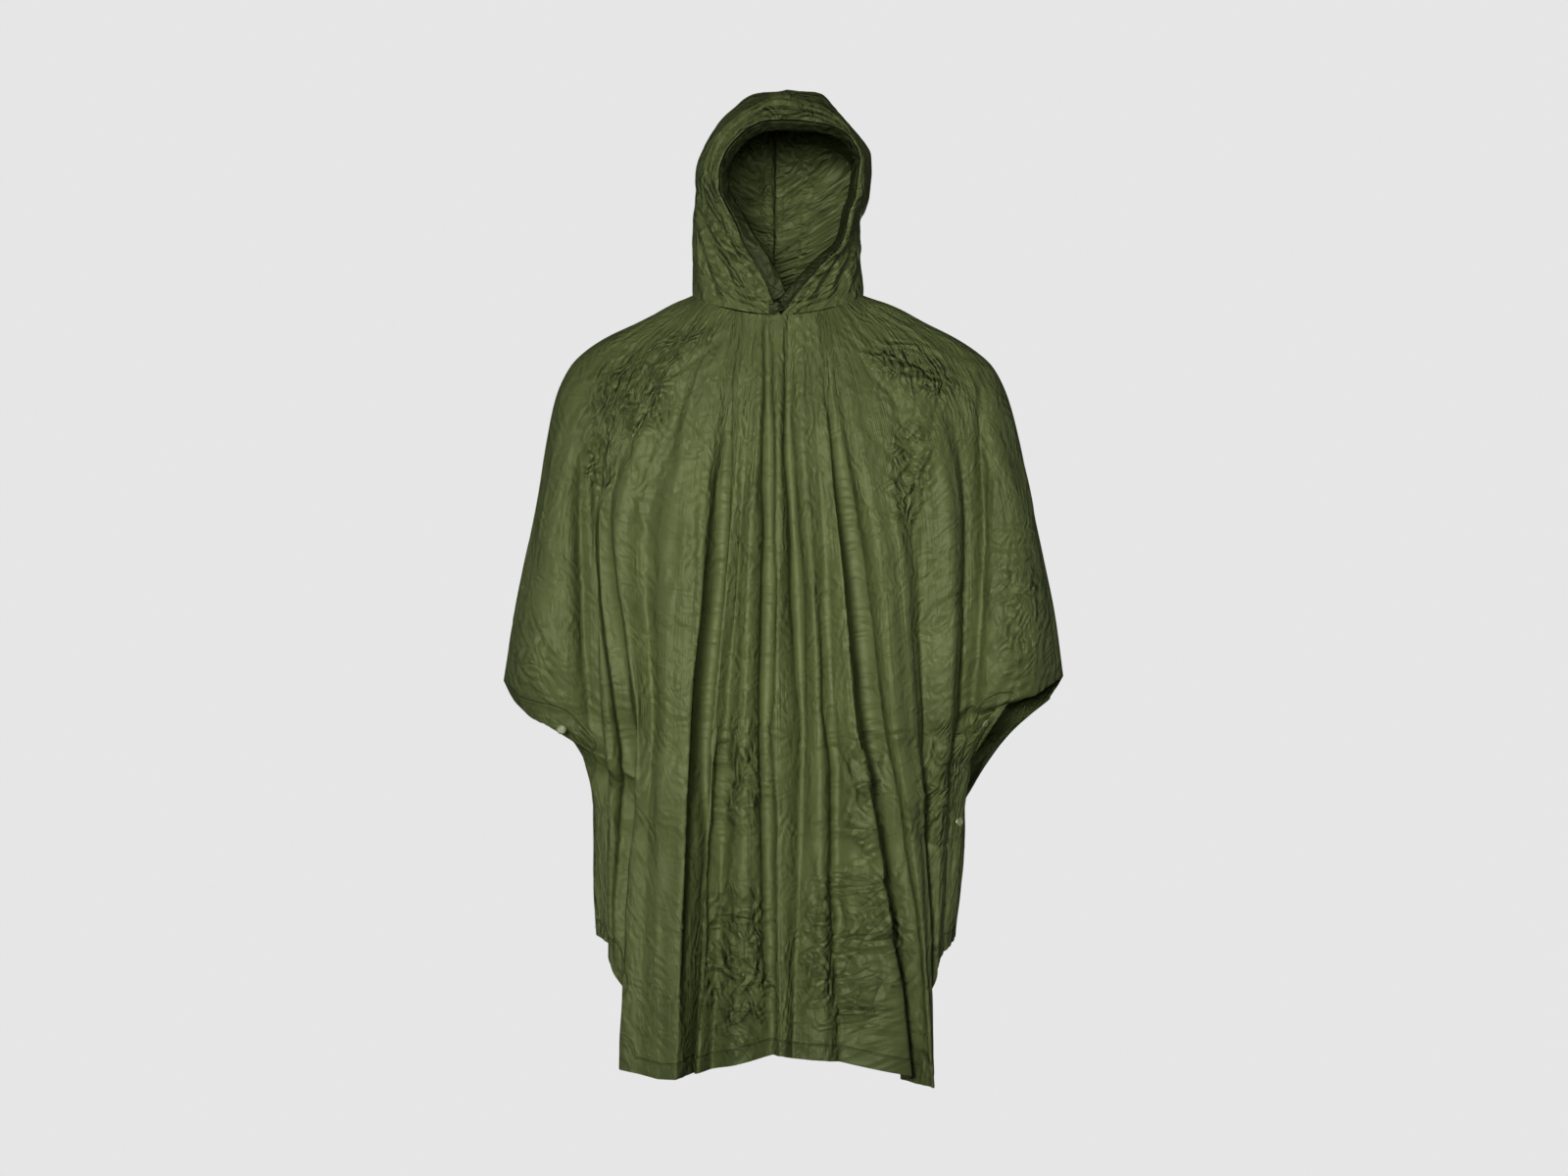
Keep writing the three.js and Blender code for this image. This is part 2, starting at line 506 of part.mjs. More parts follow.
function hoodHalf(name, side) {
  const outer = HOOD_UP.map((t) => HOOD_ACROSS.map((d) => hoodPoint(side, t, d)));
  const middle = new THREE.Vector3(0, 20, 110);
  const lastRow = HOOD_UP.length - 1;
  const lastCol = HOOD_ACROSS.length - 1;
  const inner = outer.map((row, i) =>
    row.map((p, j) => {
      const n = gridNormal(outer, Math.min(i, lastRow), Math.min(j, lastCol - 1));
      if (n.dot(p.clone().sub(middle)) < 0) n.negate();
      if (i === 0 || j === lastCol) n.z = 0;
      if (i === lastRow || j === lastCol) n.x = 0;
      n.normalize();
      const q = p.clone().addScaledVector(n, -WALL);
      q.x = side * Math.max(side * q.x, SEAM_GAP / 2);
      return q;
    }),
  );
  return closedWall(name, outer, inner, VINYL);
}

// Casing: a flat band turned in from the face edge, whose right end crosses the left one at the throat.
function casing(name) {
  const leanAt = curve(CASING_LEAN.map((row) => row.place), CASING_LEAN.map((row) => row.lean));
  const stops = [
    ...spread(0.1, 1, 20).map((t) => ({ side: -1, t })),
    ...spread(0, 0.97, 21).map((u) => ({ side: 1, t: 1 - u })),
    { side: 1, t: 0.03 },
  ];
  const edge = stops.map(({ side, t }) => hoodPoint(side, t, 0));
  const n = edge.length;
  const centre = new THREE.Vector3(4, -90, 110);
  const front = [];
  const rear = [];
  edge.forEach((p, i) => {
    const { side, t } = stops[i];
    const along = edge[Math.min(i + 1, n - 1)].clone().sub(edge[Math.max(i - 1, 0)]).normalize();
    const into = centre.clone().sub(p);
    into.y = 0;
    into.addScaledVector(along, -into.dot(along)).normalize();
    const over = side > 0 ? 1 - smooth(0.08, 0.34, t) : 0;
    const skin = faceNormal(side, t);
    const inset = CASING_INSET + WALL * Math.max(skin.dot(into), 0);
    const start = p.clone().addScaledVector(skin, -WALL).addScaledVector(into, inset);
    into.y += leanAt(side < 0 ? t - 1 : 1 - t);
    into.normalize();
    const back = along.clone().cross(into).normalize();
    if (back.y < 0) back.negate();
    start.y -= CASING_LIFT * over;
    const rowFront = [];
    const rowRear = [];
    [0, 0.33, 0.67, 1].forEach((w) => {
      const q = start.clone().addScaledVector(into, CASING_WIDTH * w);
      rowRear.push(q);
      rowFront.push(q.clone().addScaledVector(back, -CASING_WALL));
    });
    front.push(rowFront);
    rear.push(rowRear);
  });
  return closedWall(name, front, rear, VINYL_CASING);
}

// A low domed cap standing on the panel, clear of the highest cloth under it.
function snapCap({ name, fold, v }, skin) {
  const p = skin(fold, v);
  const across = skin(fold + 0.02, v).sub(skin(fold - 0.02, v));
  const down = skin(fold, v + 0.001).sub(skin(fold, v - 0.001));
  const out = down.cross(across).normalize();
  let high = 0;
  for (let i = -40; i <= 40; i += 1) {
    for (let j = -24; j <= 24; j += 1) {
      const q = skin(fold + i * 0.02, v + j * 0.001).sub(p);
      const rise = q.dot(out);
      const off = Math.sqrt(Math.max(q.lengthSq() - rise * rise, 0));
      if (off < SNAP_RADIUS + 1) high = Math.max(high, rise);
    }
  }
  const profile = [
    { r: 0, h: 0 }, { r: 1, h: 0 }, { r: 1, h: 0.35 }, { r: 0.8, h: 0.75 }, { r: 0.45, h: 0.95 },
    { r: 0, h: 1 },
  ].map((q) => new THREE.Vector2(q.r * SNAP_RADIUS, q.h * SNAP_HEIGHT));
  const mesh = new THREE.Mesh(new THREE.LatheGeometry(profile, 16), SNAP_PLASTIC);
  mesh.name = name;
  mesh.quaternion.setFromUnitVectors(new THREE.Vector3(0, 1, 0), out);
  mesh.position.copy(p).addScaledVector(out, high + 0.4);
  mesh.updateMatrixWorld(true);
  return mesh;
}

const poncho = new THREE.Group();
poncho.name = "rain_poncho";
const front = panel("front_panel", FRONT);
const back = panel("back_panel", BACK);
poncho.add(front.mesh, back.mesh);
poncho.add(hoodHalf("hood_left", -1), hoodHalf("hood_right", 1));
poncho.add(casing("face_casing"));
SNAPS.forEach((snap) => poncho.add(snapCap(snap, front.skin)));

export default poncho;
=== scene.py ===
# %% [markdown]
# # A vinyl rain poncho
# A slip-on poncho is one sheet of soft vinyl, folded over the shoulders, with a hood welded into a
# hole on the fold. It hangs here as it is worn, hollow, held up by its shoulders.
#
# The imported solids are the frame. They give each piece its place, and every visible piece of cloth
# is made again below as a thin sheet on the same form, with finer folds, creases and hems.

# %% Load the frame
import math

import bmesh
import bpy
import numpy as np
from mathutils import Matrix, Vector
from mathutils.kdtree import KDTree


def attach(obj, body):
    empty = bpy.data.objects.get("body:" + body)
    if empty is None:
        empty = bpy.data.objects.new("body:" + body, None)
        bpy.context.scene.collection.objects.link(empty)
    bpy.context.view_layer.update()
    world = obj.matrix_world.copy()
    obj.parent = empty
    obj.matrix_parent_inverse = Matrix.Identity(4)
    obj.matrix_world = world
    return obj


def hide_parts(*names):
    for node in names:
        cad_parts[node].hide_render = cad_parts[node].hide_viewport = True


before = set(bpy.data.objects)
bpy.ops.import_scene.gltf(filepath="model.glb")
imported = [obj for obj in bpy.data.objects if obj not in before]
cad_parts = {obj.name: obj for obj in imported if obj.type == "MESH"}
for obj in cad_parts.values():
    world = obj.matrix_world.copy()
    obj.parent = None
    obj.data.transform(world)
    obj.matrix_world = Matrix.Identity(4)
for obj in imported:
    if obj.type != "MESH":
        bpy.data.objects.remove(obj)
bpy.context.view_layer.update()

bpy.ops.object.select_all(action="DESELECT")
print("solids:", sorted(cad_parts))

# %% [markdown]
# ## Camera
# The photo looks level at the middle of the garment from a few metres away, so upright folds stay
# upright. At 4.5 m an 81 mm lens on a 36 mm sensor takes in 2 m across, which is 1.25 mm a pixel.

# %% Camera
EYE = {"x": 3.75, "y": -4500.0, "z": -369.0}
camera_data = bpy.data.cameras.new("studio_camera")
camera_data.sensor_width = 36
camera_data.lens = 81
camera = bpy.data.objects.new("studio_camera", camera_data)
bpy.context.collection.objects.link(camera)
camera.location = (EYE["x"] / 1000, EYE["y"] / 1000, EYE["z"] / 1000)
camera.rotation_euler = (math.radians(90), 0, 0)
bpy.context.scene.camera = camera
print("camera at", [round(c, 3) for c in camera.location])

# %% [markdown]
# ## Lines and surfaces
# Cloth is easiest to shape as a grid: a few fold lines are given at a few levels, and a
# smooth curve that never overshoots runs between them. All sizes are in millimetres until a mesh
# is made.

# %% Curves through a few values
def curve(at, values):
    """A smooth line through values at rising places, with no overshoot. Works on columns too."""
    at = np.asarray(at, float)
    values = np.asarray(values, float)
    step = np.diff(at).reshape(-1, *[1] * (values.ndim - 1))
    slope = np.diff(values, axis=0) / step
    turn = np.empty_like(values)
    turn[0] = slope[0]
    turn[-1] = slope[-1]
    product = slope[:-1] * slope[1:]
    total = slope[:-1] + slope[1:]
    safe = np.where(total == 0, 1, total)
    turn[1:-1] = np.where(product > 0, 2 * product / safe, 0)

    def line(t):
        t = np.clip(np.asarray(t, float), at[0], at[-1])
        i = np.clip(np.searchsorted(at, t, side="left") - 1, 0, len(at) - 2)
        h = (at[i + 1] - at[i]).reshape(*t.shape, *[1] * (values.ndim - 1))
        u = ((t - at[i]) / (at[i + 1] - at[i])).reshape(h.shape)
        u2 = u * u
        u3 = u2 * u
        rise = (2 * u3 - 3 * u2 + 1) * values[i] + (u3 - 2 * u2 + u) * h * turn[i]
        return rise + (3 * u2 - 2 * u3) * values[i + 1] + (u3 - u2) * h * turn[i + 1]

    return line


def lengths_along(points):
    """Distance of each point from the first one, along the line through them."""
    return np.concatenate([[0], np.cumsum(np.linalg.norm(np.diff(points, axis=0), axis=1))])


def path(points):
    """A path through points, run along from 0 to 1 by its length."""
    points = np.asarray(points, float)
    far = lengths_along(points)
    return curve(far / far[-1], points)


def points_along(line, far, stops):
    """Points of a line at some distances along it. far is the distance of each given point."""
    return np.stack([np.interp(stops, far, line[:, c]) for c in range(line.shape[1])], axis=-1)


def mix(a, b, t):
    return a + (b - a) * t


def smooth(a, b, t):
    u = np.clip((t - a) / (b - a), 0, 1)
    return u * u * (3 - 2 * u)


# %% Sizes shared by the pieces
NECK = {"left": -113, "right": 105, "side_z": 4, "front_y": -92, "front_z": -28, "back_y": 88, "back_z": 14}
# How fast a section's height falls off from its middle to its edges.
EDGE_DROP = 1.6
# Levels run from 0 at the neck to 1 at the hem. These are the ones of the fold tables, and how
# square the body's section is at each.
LEVELS = [0, 0.15, 0.35, 0.56, 0.78, 1]
SQUARENESS = [2, 2, 2, 2.05, 2.35, 2.6]
# The sleeve mouths lie between two levels. Their edges stand out in the middle, and the cloth
# beside them hangs free, which sets in, is full, wanes and ends at the four levels of MOUTH_FREE.
MOUTH_TOP = 0.57
MOUTH_END = 0.78
MOUTH_FREE = (0.5, 0.62, 0.7, 0.78)
MOUTH_BULGE = 60
MOUTH_SLOPE = 2.0
# From this level down the sheet is drawn out to the heights that the fold tables give its hem.
HEM_PULL_TOP = 0.55
# A free edge is folded in by one hem. Its second layer lies a little inside the first.
HEM = 20
LAYER_GAP = 0.7
# The weld that closes a hem runs this far from the edge.
WELD_AT = 19

# Fold over the shoulder and arm, sleeve mouths and fastened sides, as (x, z).
SHOULDER_LEFT = [
    (-113, 4), (-146, -12), (-184, -31), (-224, -50), (-252, -69), (-269, -87),
    (-287, -125), (-299, -181), (-311, -256), (-326, -331), (-341, -406), (-354, -487),
]
SHOULDER_RIGHT = [
    (105, 4), (149, -12), (184, -31), (222, -50), (251, -69), (270, -87),
    (289, -125), (304, -181), (319, -256), (335, -331), (350, -406), (360, -481),
]
MOUTH_FRONT_LEFT = [
    (-354, -487), (-342, -511), (-308, -528), (-273, -545), (-252, -568), (-243, -597), (-237, -645),
]
MOUTH_BACK_LEFT = [
    (-354, -487), (-334, -503), (-300, -516), (-270, -534), (-252, -560), (-243, -592), (-237, -645),
]
MOUTH_FRONT_RIGHT = [
    (360, -481), (328, -484), (291, -502), (261, -535), (245, -572), (238, -604), (234, -633),
]
MOUTH_BACK_RIGHT = [
    (360, -481), (347, -505), (318, -532), (290, -558), (265, -590), (248, -615), (234, -633),
]
SIDE_LEFT = [(-237, -645), (-236, -700), (-237, -750), (-237, -803)]
SIDE_RIGHT = [(234, -633), (231, -700), (227, -755), (221, -812)]

# %% [markdown]
# ## Folds of the body
# Each row is one fold line from the neck down to the hem: where it runs at each level, how far it
# stands off the smooth section (troughs are negative) and how high the hem is there. Vinyl hangs in
# pipes: ridges are round and the troughs between them are tight, so the last column says how sharp
# a trough is.

# %% Fold tables
FRONT_FOLDS = [
    ("sleeve_left", [-109, -226, -291, -314, -233, -233], [0, 0, 4, 5, 0, 0], -806, 0),
    ("arm_trough_left", [-103, -200, -249, -243, -226, -224], [0, -2, -34, -46, -13, -6], -815, 0.6),
    ("side_ridge_left", [-97, -184, -238, -221, -212, -210], [0, 0, -4, -2, 3, 4], -838, 0),
    ("flank_trough_left", [-91, -170, -225, -198, -196, -197], [0, -2, -20, -34, -40, -34], -902, 0.5),
    ("front_fold_left", [-84, -152, -203, -178, -188, -195], [0, 0, 4, 8, 10, 8], -967, 0),
    ("chest_trough_left", [-76, -134, -174, -162, -168, -172], [0, -4, -16, -12, 0, 2], -972, 0.2),
    ("ridge_left", [-67, -112, -130, -140, -148, -150], [0, 2, 8, 8, 7, 5], -976, 0),
    ("lip_left", [-59, -88, -95, -109, -117, -127], [0, 2, 9, 11, 10, 9], -975, 0),
    ("main_trough_left", [-51, -66, -80, -98, -107, -117], [0, -5, -44, -56, -60, -50], -971, 0.7),
    ("thin_ridge_left", [-43, -54, -66, -84, -92, -102], [0, 0, 5, 6, 6, 4], -967, 0),
    ("soft_trough_left", [-35, -42, -54, -68, -78, -88], [0, -2, -9, -14, -22, -20], -964, 0.3),
    ("panel_left", [-26, -30, -40, -44, -46, -52], [1, 3, 9, 9, 8, 6], -955, 0),
    ("pleat_line_left", [-17, -15, -15, -20, -16, -10], [-2, -9, -20, -18, -17, -12], -945, 0.8),
    ("pleat_ridge", [-4, -4, -3, -5, -3, 2], [3, 6, 7, 6, 6, 5], -945, 0),
    ("pleat_line_right", [9, 9, 19, 27, 22, 14], [-2, -9, -26, -16, -12, -9], -949, 0.7),
    ("ridge_right", [21, 26, 38, 48, 50, 54], [1, 3, 6, 7, 6, 5], -951, 0),
    ("soft_trough_right", [32, 42, 56, 66, 70, 74], [0, -2, -6, -11, -15, -12], -954, 0.3),
    ("panel_right", [42, 56, 76, 92, 129, 154], [0, 1, 8, 9, 9, 9], -972, 0),
    ("main_trough_right", [51, 68, 91, 113, 151, 176], [0, -6, -40, -48, -52, -42], -984, 0.7),
    ("pipe_fold_right", [60, 90, 122, 138, 165, 181], [0, 2, 12, 14, 15, 12], -990, 0),
    ("pipe_edge_right", [69, 115, 147, 162, 179, 187], [0, 0, 4, 4, 6, 5], -976, 0),
    ("flank_trough_right", [79, 145, 172, 184, 193, 194], [0, -3, -16, -26, -36, -36], -915, 0.3),
    ("side_ridge_right", [88, 175, 218, 214, 204, 198], [0, 0, -2, -6, -6, -2], -846, 0),
    ("arm_trough_right", [96, 200, 249, 240, 222, 209], [0, -2, -38, -46, -12, -6], -826, 0.7),
    ("sleeve_right", [101, 228, 295, 318, 229, 217], [0, 0, 4, 5, 0, 0], -817, 0),
]
BACK_FOLDS = [
    ("sleeve_left", [-109, -228, -294, -314, -233, -233], [0, 0, 6, 8, 0, 0], -808, 0),
    ("arm_trough_left", [-100, -200, -250, -244, -226, -222], [0, -3, -30, -40, -12, -6], -826, 0.5),
    ("side_ridge_left", [-88, -170, -216, -210, -208, -206], [0, 0, 6, 8, 4, 2], -858, 0),
    ("flank_trough_left", [-75, -138, -184, -178, -187, -192], [0, -4, -16, -26, -28, -16], -902, 0.4),
    ("ridge_left", [-62, -110, -150, -150, -162, -170], [0, 2, 8, 12, 12, 10], -958, 0),
    ("main_trough_left", [-48, -82, -112, -118, -128, -135], [0, -2, -14, -30, -40, -36], -968, 0.6),
    ("panel_left", [-34, -56, -78, -86, -98, -106], [0, 3, 8, 12, 14, 12], -966, 0),
    ("centre_trough_left", [-20, -31, -44, -52, -60, -66], [0, -4, -12, -18, -22, -20], -962, 0.4),
    ("centre_ridge", [-4, -6, -10, -14, -18, -22], [0, 2, 6, 8, 8, 8], -959, 0),
    ("centre_trough_right", [13, 20, 24, 26, 26, 24], [-1, -6, -16, -22, -26, -24], -957, 0.6),
    ("panel_right", [29, 48, 60, 66, 70, 72], [0, 3, 8, 10, 12, 12], -962, 0),
    ("main_trough_right", [45, 76, 96, 106, 118, 124], [0, -3, -14, -30, -44, -40], -968, 0.6),
    ("ridge_right", [60, 108, 136, 142, 152, 160], [0, 2, 8, 12, 14, 12], -960, 0),
    ("flank_trough_right", [74, 140, 178, 178, 184, 186], [0, -4, -18, -28, -26, -16], -904, 0.4),
    ("side_ridge_right", [86, 172, 216, 210, 205, 200], [0, 0, 6, 8, 4, 2], -862, 0),
    ("arm_trough_right", [95, 202, 250, 242, 222, 210], [0, -3, -32, -42, -12, -6], -834, 0.5),
    ("sleeve_right", [101, 230, 297, 318, 230, 218], [0, 0, 6, 8, 0, 0], -820, 0),
]
print("folds in front and behind:", len(FRONT_FOLDS), len(BACK_FOLDS))


# %% A point of a panel for each fold line and level
def edge_line(shoulder, mouth, side, facing):
    """Edge of a panel down its length: shoulder fold, sleeve mouth, fastened side. Gives x, y, z."""
    top, middle, low = path(shoulder), path(mouth), path(side)

    def line(v):
        t = (v - MOUTH_TOP) / (MOUTH_END - MOUTH_TOP)
        xz = np.where((v <= MOUTH_TOP)[:, None], top(v / MOUTH_TOP), middle(np.clip(t, 0, 1)))
        xz = np.where((v >= MOUTH_END)[:, None], low((v - MOUTH_END) / (1 - MOUTH_END)), xz)
        y = facing * MOUTH_BULGE * np.sin(math.pi * np.clip(t, 0, 1)) ** 2
        return xz[:, 0], y, xz[:, 1]

    return line


FRONT = {
    "folds": FRONT_FOLDS, "facing": -1, "hems": (-803, -812),
    "reach": [92, 128, 148, 150, 151, 158], "height": [-28, -168, -349, -541, -742, -944],
    "left": edge_line(SHOULDER_LEFT, MOUTH_FRONT_LEFT, SIDE_LEFT, -1),
    "right": edge_line(SHOULDER_RIGHT, MOUTH_FRONT_RIGHT, SIDE_RIGHT, -1),
}
BACK = {
    "folds": BACK_FOLDS, "facing": 1, "hems": (-803, -812),
    "reach": [88, 138, 150, 146, 150, 164], "height": [14, -140, -336, -535, -745, -958],
    "left": edge_line(SHOULDER_LEFT, MOUTH_BACK_LEFT, SIDE_LEFT, 1),
    "right": edge_line(SHOULDER_RIGHT, MOUTH_BACK_RIGHT, SIDE_RIGHT, 1),
}


def section(x, left, right, facing, reach, height, square, free):
    """The smooth section of a panel through two edge points, at places x. Gives y, z and the way out."""
    (lx, ly, lz), (rx, ry, rz) = left, right
    half = (rx - lx) / 2
    a = np.clip((x - (lx + rx) / 2) / half, -1, 1)
    cap = (1 - np.abs(a) ** square) ** (1 / square)
    # At the sleeve mouths the section leaves its edges at a slant.
    slant = MOUTH_SLOPE * np.maximum(1 - np.abs(a), 1e-6)
    flat = 1 / (np.maximum(cap, 1e-6) ** -4 + slant ** -4) ** 0.25
    y = mix(mix(ly, ry, (a + 1) / 2), facing * reach, mix(cap, flat, free))
    z = mix(mix(lz, rz, (a + 1) / 2), height, cap ** EDGE_DROP)
    out_x = np.abs(a) ** (square - 1) * np.sign(a) / half
    out_y = facing * cap ** (square - 1) / reach
    size = np.hypot(out_x, out_y)
    return y, z, out_x / size, out_y / size


def panel_grid(spec, ks, vs):
    """Points of a panel for fold positions ks (whole numbers on folds) and levels vs, row by row."""
    left = [c[:, None] for c in spec["left"](vs)]
    right = [c[:, None] for c in spec["right"](vs)]
    fold_x = curve(LEVELS, np.array([f[1] for f in spec["folds"]]).T)(vs)
    fold_out = curve(LEVELS, np.array([f[2] for f in spec["folds"]]).T)(vs)
    xs = np.hstack([left[0], fold_x, right[0]])
    outs = np.hstack([0 * left[0], fold_out, 0 * right[0]])
    hems = np.array([spec["hems"][0], *[f[3] for f in spec["folds"]], spec["hems"][1]])
    sharp = np.array([0, *[f[4] for f in spec["folds"]], 0])
    k0 = np.clip(np.floor(ks).astype(int), 0, len(hems) - 2)
    t = ks - k0
    from_trough = np.sin(math.pi / 2 * t)
    to_trough = 1 - np.cos(math.pi / 2 * t)
    soft = (1 - np.cos(math.pi * t)) / 2
    shape = soft + sharp[k0] * (from_trough - soft) + sharp[k0 + 1] * (to_trough - soft)
    x = mix(xs[:, k0], xs[:, k0 + 1], t)
    out = mix(outs[:, k0], outs[:, k0 + 1], shape)
    sets_in, full, wanes, ends = MOUTH_FREE
    free = (smooth(sets_in, full, vs) * (1 - smooth(wanes, ends, vs)))[:, None]
    levels = [curve(LEVELS, row)(vs)[:, None] for row in (spec["reach"], spec["height"], SQUARENESS)]
    levels.append(free)
    y, z, out_x, out_y = section(x, left, right, spec["facing"], *levels)
    last_left, last_right, last_levels = ([c[-1:] for c in group] for group in (left, right, levels))
    hem_z = section(x, last_left, last_right, spec["facing"], *last_levels)[1]
    fall = (mix(hems[k0], hems[k0 + 1], t) - hem_z) * smooth(HEM_PULL_TOP, 1, vs)[:, None]
    return np.stack([x + out_x * out, y + out_y * out, z + fall], axis=-1)


def even_columns(spec, step):
    """Fold positions about one step apart on the cloth, with one on each fold line."""
    tried_levels = np.array([0.3, 0.45, 0.6, 0.8, 0.97])
    tried_parts = 16
    count = len(spec["folds"]) + 1
    fine = np.linspace(0, count, count * tried_parts + 1)
    rows = panel_grid(spec, fine, tried_levels)
    lengths = np.linalg.norm(np.diff(rows, axis=1), axis=2).reshape(-1, count, tried_parts).sum(2)
    wanted = np.maximum(np.ceil(np.percentile(lengths, 75, axis=0) / step), 3).astype(int)
    parts = [i + np.arange(n) / n for i, n in enumerate(wanted)]
    return np.concatenate([*parts, [count]])


# %% [markdown]
# ## Creases
# Vinyl that has been folded small keeps creases. Three kinds show: long draws that run with the
# folds, short sharp creases that were read off the cloth one by one, and crumpled patches on the
# shoulders and the lower front. The first and last are seeded noise, and the second are short
# tables of places on the front view.

# %% Noise in two directions
# Large odd numbers that stir the bits of a place, so that neighbours get unlike numbers.
STIR_I, STIR_J, STIR_SEED, STIR_AGAIN = 374761393, 668265263, 974634777, 1274126177
# Directions of the creases of crushed vinyl in radians, and how strong each is.
CRUSH_DIRECTIONS = [(0.3, 1), (1.2, 0.8), (2.2, 0.8), (2.9, 0.6)]


def lattice(i, j, seed):
    """An even, repeatable number from 0 to 1 for each whole-number place."""
    h = (i.astype(np.int64) * STIR_I + j.astype(np.int64) * STIR_J + seed * STIR_SEED) & 0xFFFFFFFF
    h = ((h ^ (h >> 13)) * STIR_AGAIN) & 0xFFFFFFFF
    return ((h ^ (h >> 16)) & 0xFFFF) / 65535


def noise(u, v, seed):
    """Smooth noise from -1 to 1 with one bump about each whole number."""
    i, j = np.floor(u), np.floor(v)
    a, b = ((t * t * t * (t * (t * 6 - 15) + 10)) for t in (u - i, v - j))
    low = mix(lattice(i, j, seed), lattice(i + 1, j, seed), a)
    high = mix(lattice(i, j + 1, seed), lattice(i + 1, j + 1, seed), a)
    return mix(low, high, b) * 2 - 1


def waves(u, v, rows, seed):
    """Smooth waves, from rows of their size across, size along and height in mm."""
    return sum(noise(u / wide, v / long, seed + n) * high for n, (wide, long, high) in enumerate(rows))


def crushed(u, v, size, seed):
    """Crumpled relief of about one crease for each size, with sharp crests in crossing directions."""
    total = np.zeros_like(u)
    for n, (angle, weight) in enumerate(CRUSH_DIRECTIONS):
        c, s = math.cos(angle), math.sin(angle)
        p = (u * c + v * s) / size + noise(u / size / 2, v / size / 2, seed + n) * 0.8
        q = (-u * s + v * c) / (size * 1.8)
        total += weight * (1 - 2 * np.abs(noise(p, q, seed + 10 + n)))
    return total / 2


# %% Normals, soft patches and creases
def grid_normals(grid, facing):
    """Unit normals of a grid of points, pointing out."""
    n = np.cross(np.gradient(grid, axis=1), np.gradient(grid, axis=0))
    size = np.linalg.norm(n, axis=2, keepdims=True)
    return n / np.where(size == 0, 1, size) * facing


def seen(grid):
    """Where the camera sees each point, on the plane through the shoulders."""
    k = -EYE["y"] / (grid[..., 1] - EYE["y"])
    return EYE["x"] + (grid[..., 0] - EYE["x"]) * k, EYE["z"] + (grid[..., 2] - EYE["z"]) * k


def patch(x, z, cx, cz, wide, tall, lean=0):
    """1 in the middle of a soft oval patch, 0 outside it."""
    c, s = math.cos(lean), math.sin(lean)
    a = ((x - cx) * c + (z - cz) * s) / wide
    b = (-(x - cx) * s + (z - cz) * c) / tall
    return 1 - smooth(0.45, 1, np.sqrt(a * a + b * b))


def crease_relief(x, z, creases, sharp=False):
    """Height of creases, from rows of points, half width and depth. Troughs are negative."""
    relief = np.zeros_like(x)
    for points, wide, deep in creases:
        points = np.asarray(points, float)
        low = points.min(0) - 4 * wide
        high = points.max(0) + 4 * wide
        near = (x > low[0]) & (x < high[0]) & (z > low[1]) & (z < high[1])
        if not near.any():
            continue
        px, pz = x[near], z[near]
        best = np.full(px.shape, np.inf)
        along = np.zeros(px.shape)
        for (ax, az), (bx, bz), done in zip(points[:-1], points[1:], lengths_along(points)):
            size = math.hypot(bx - ax, bz - az)
            t = np.clip(((px - ax) * (bx - ax) + (pz - az) * (bz - az)) / size ** 2, 0, 1)
            d = np.hypot(px - ax - t * (bx - ax), pz - az - t * (bz - az))
            along = np.where(d < best, done + t * size, along)
            best = np.minimum(d, best)
        taper = np.sin(math.pi * np.clip(along / (done + size), 0.02, 0.98)) ** 0.6
        form = np.maximum(1 - best / wide, 0) if sharp else np.exp(-((best / wide) ** 1.5))
        relief[near] += deep * taper * form
    return relief
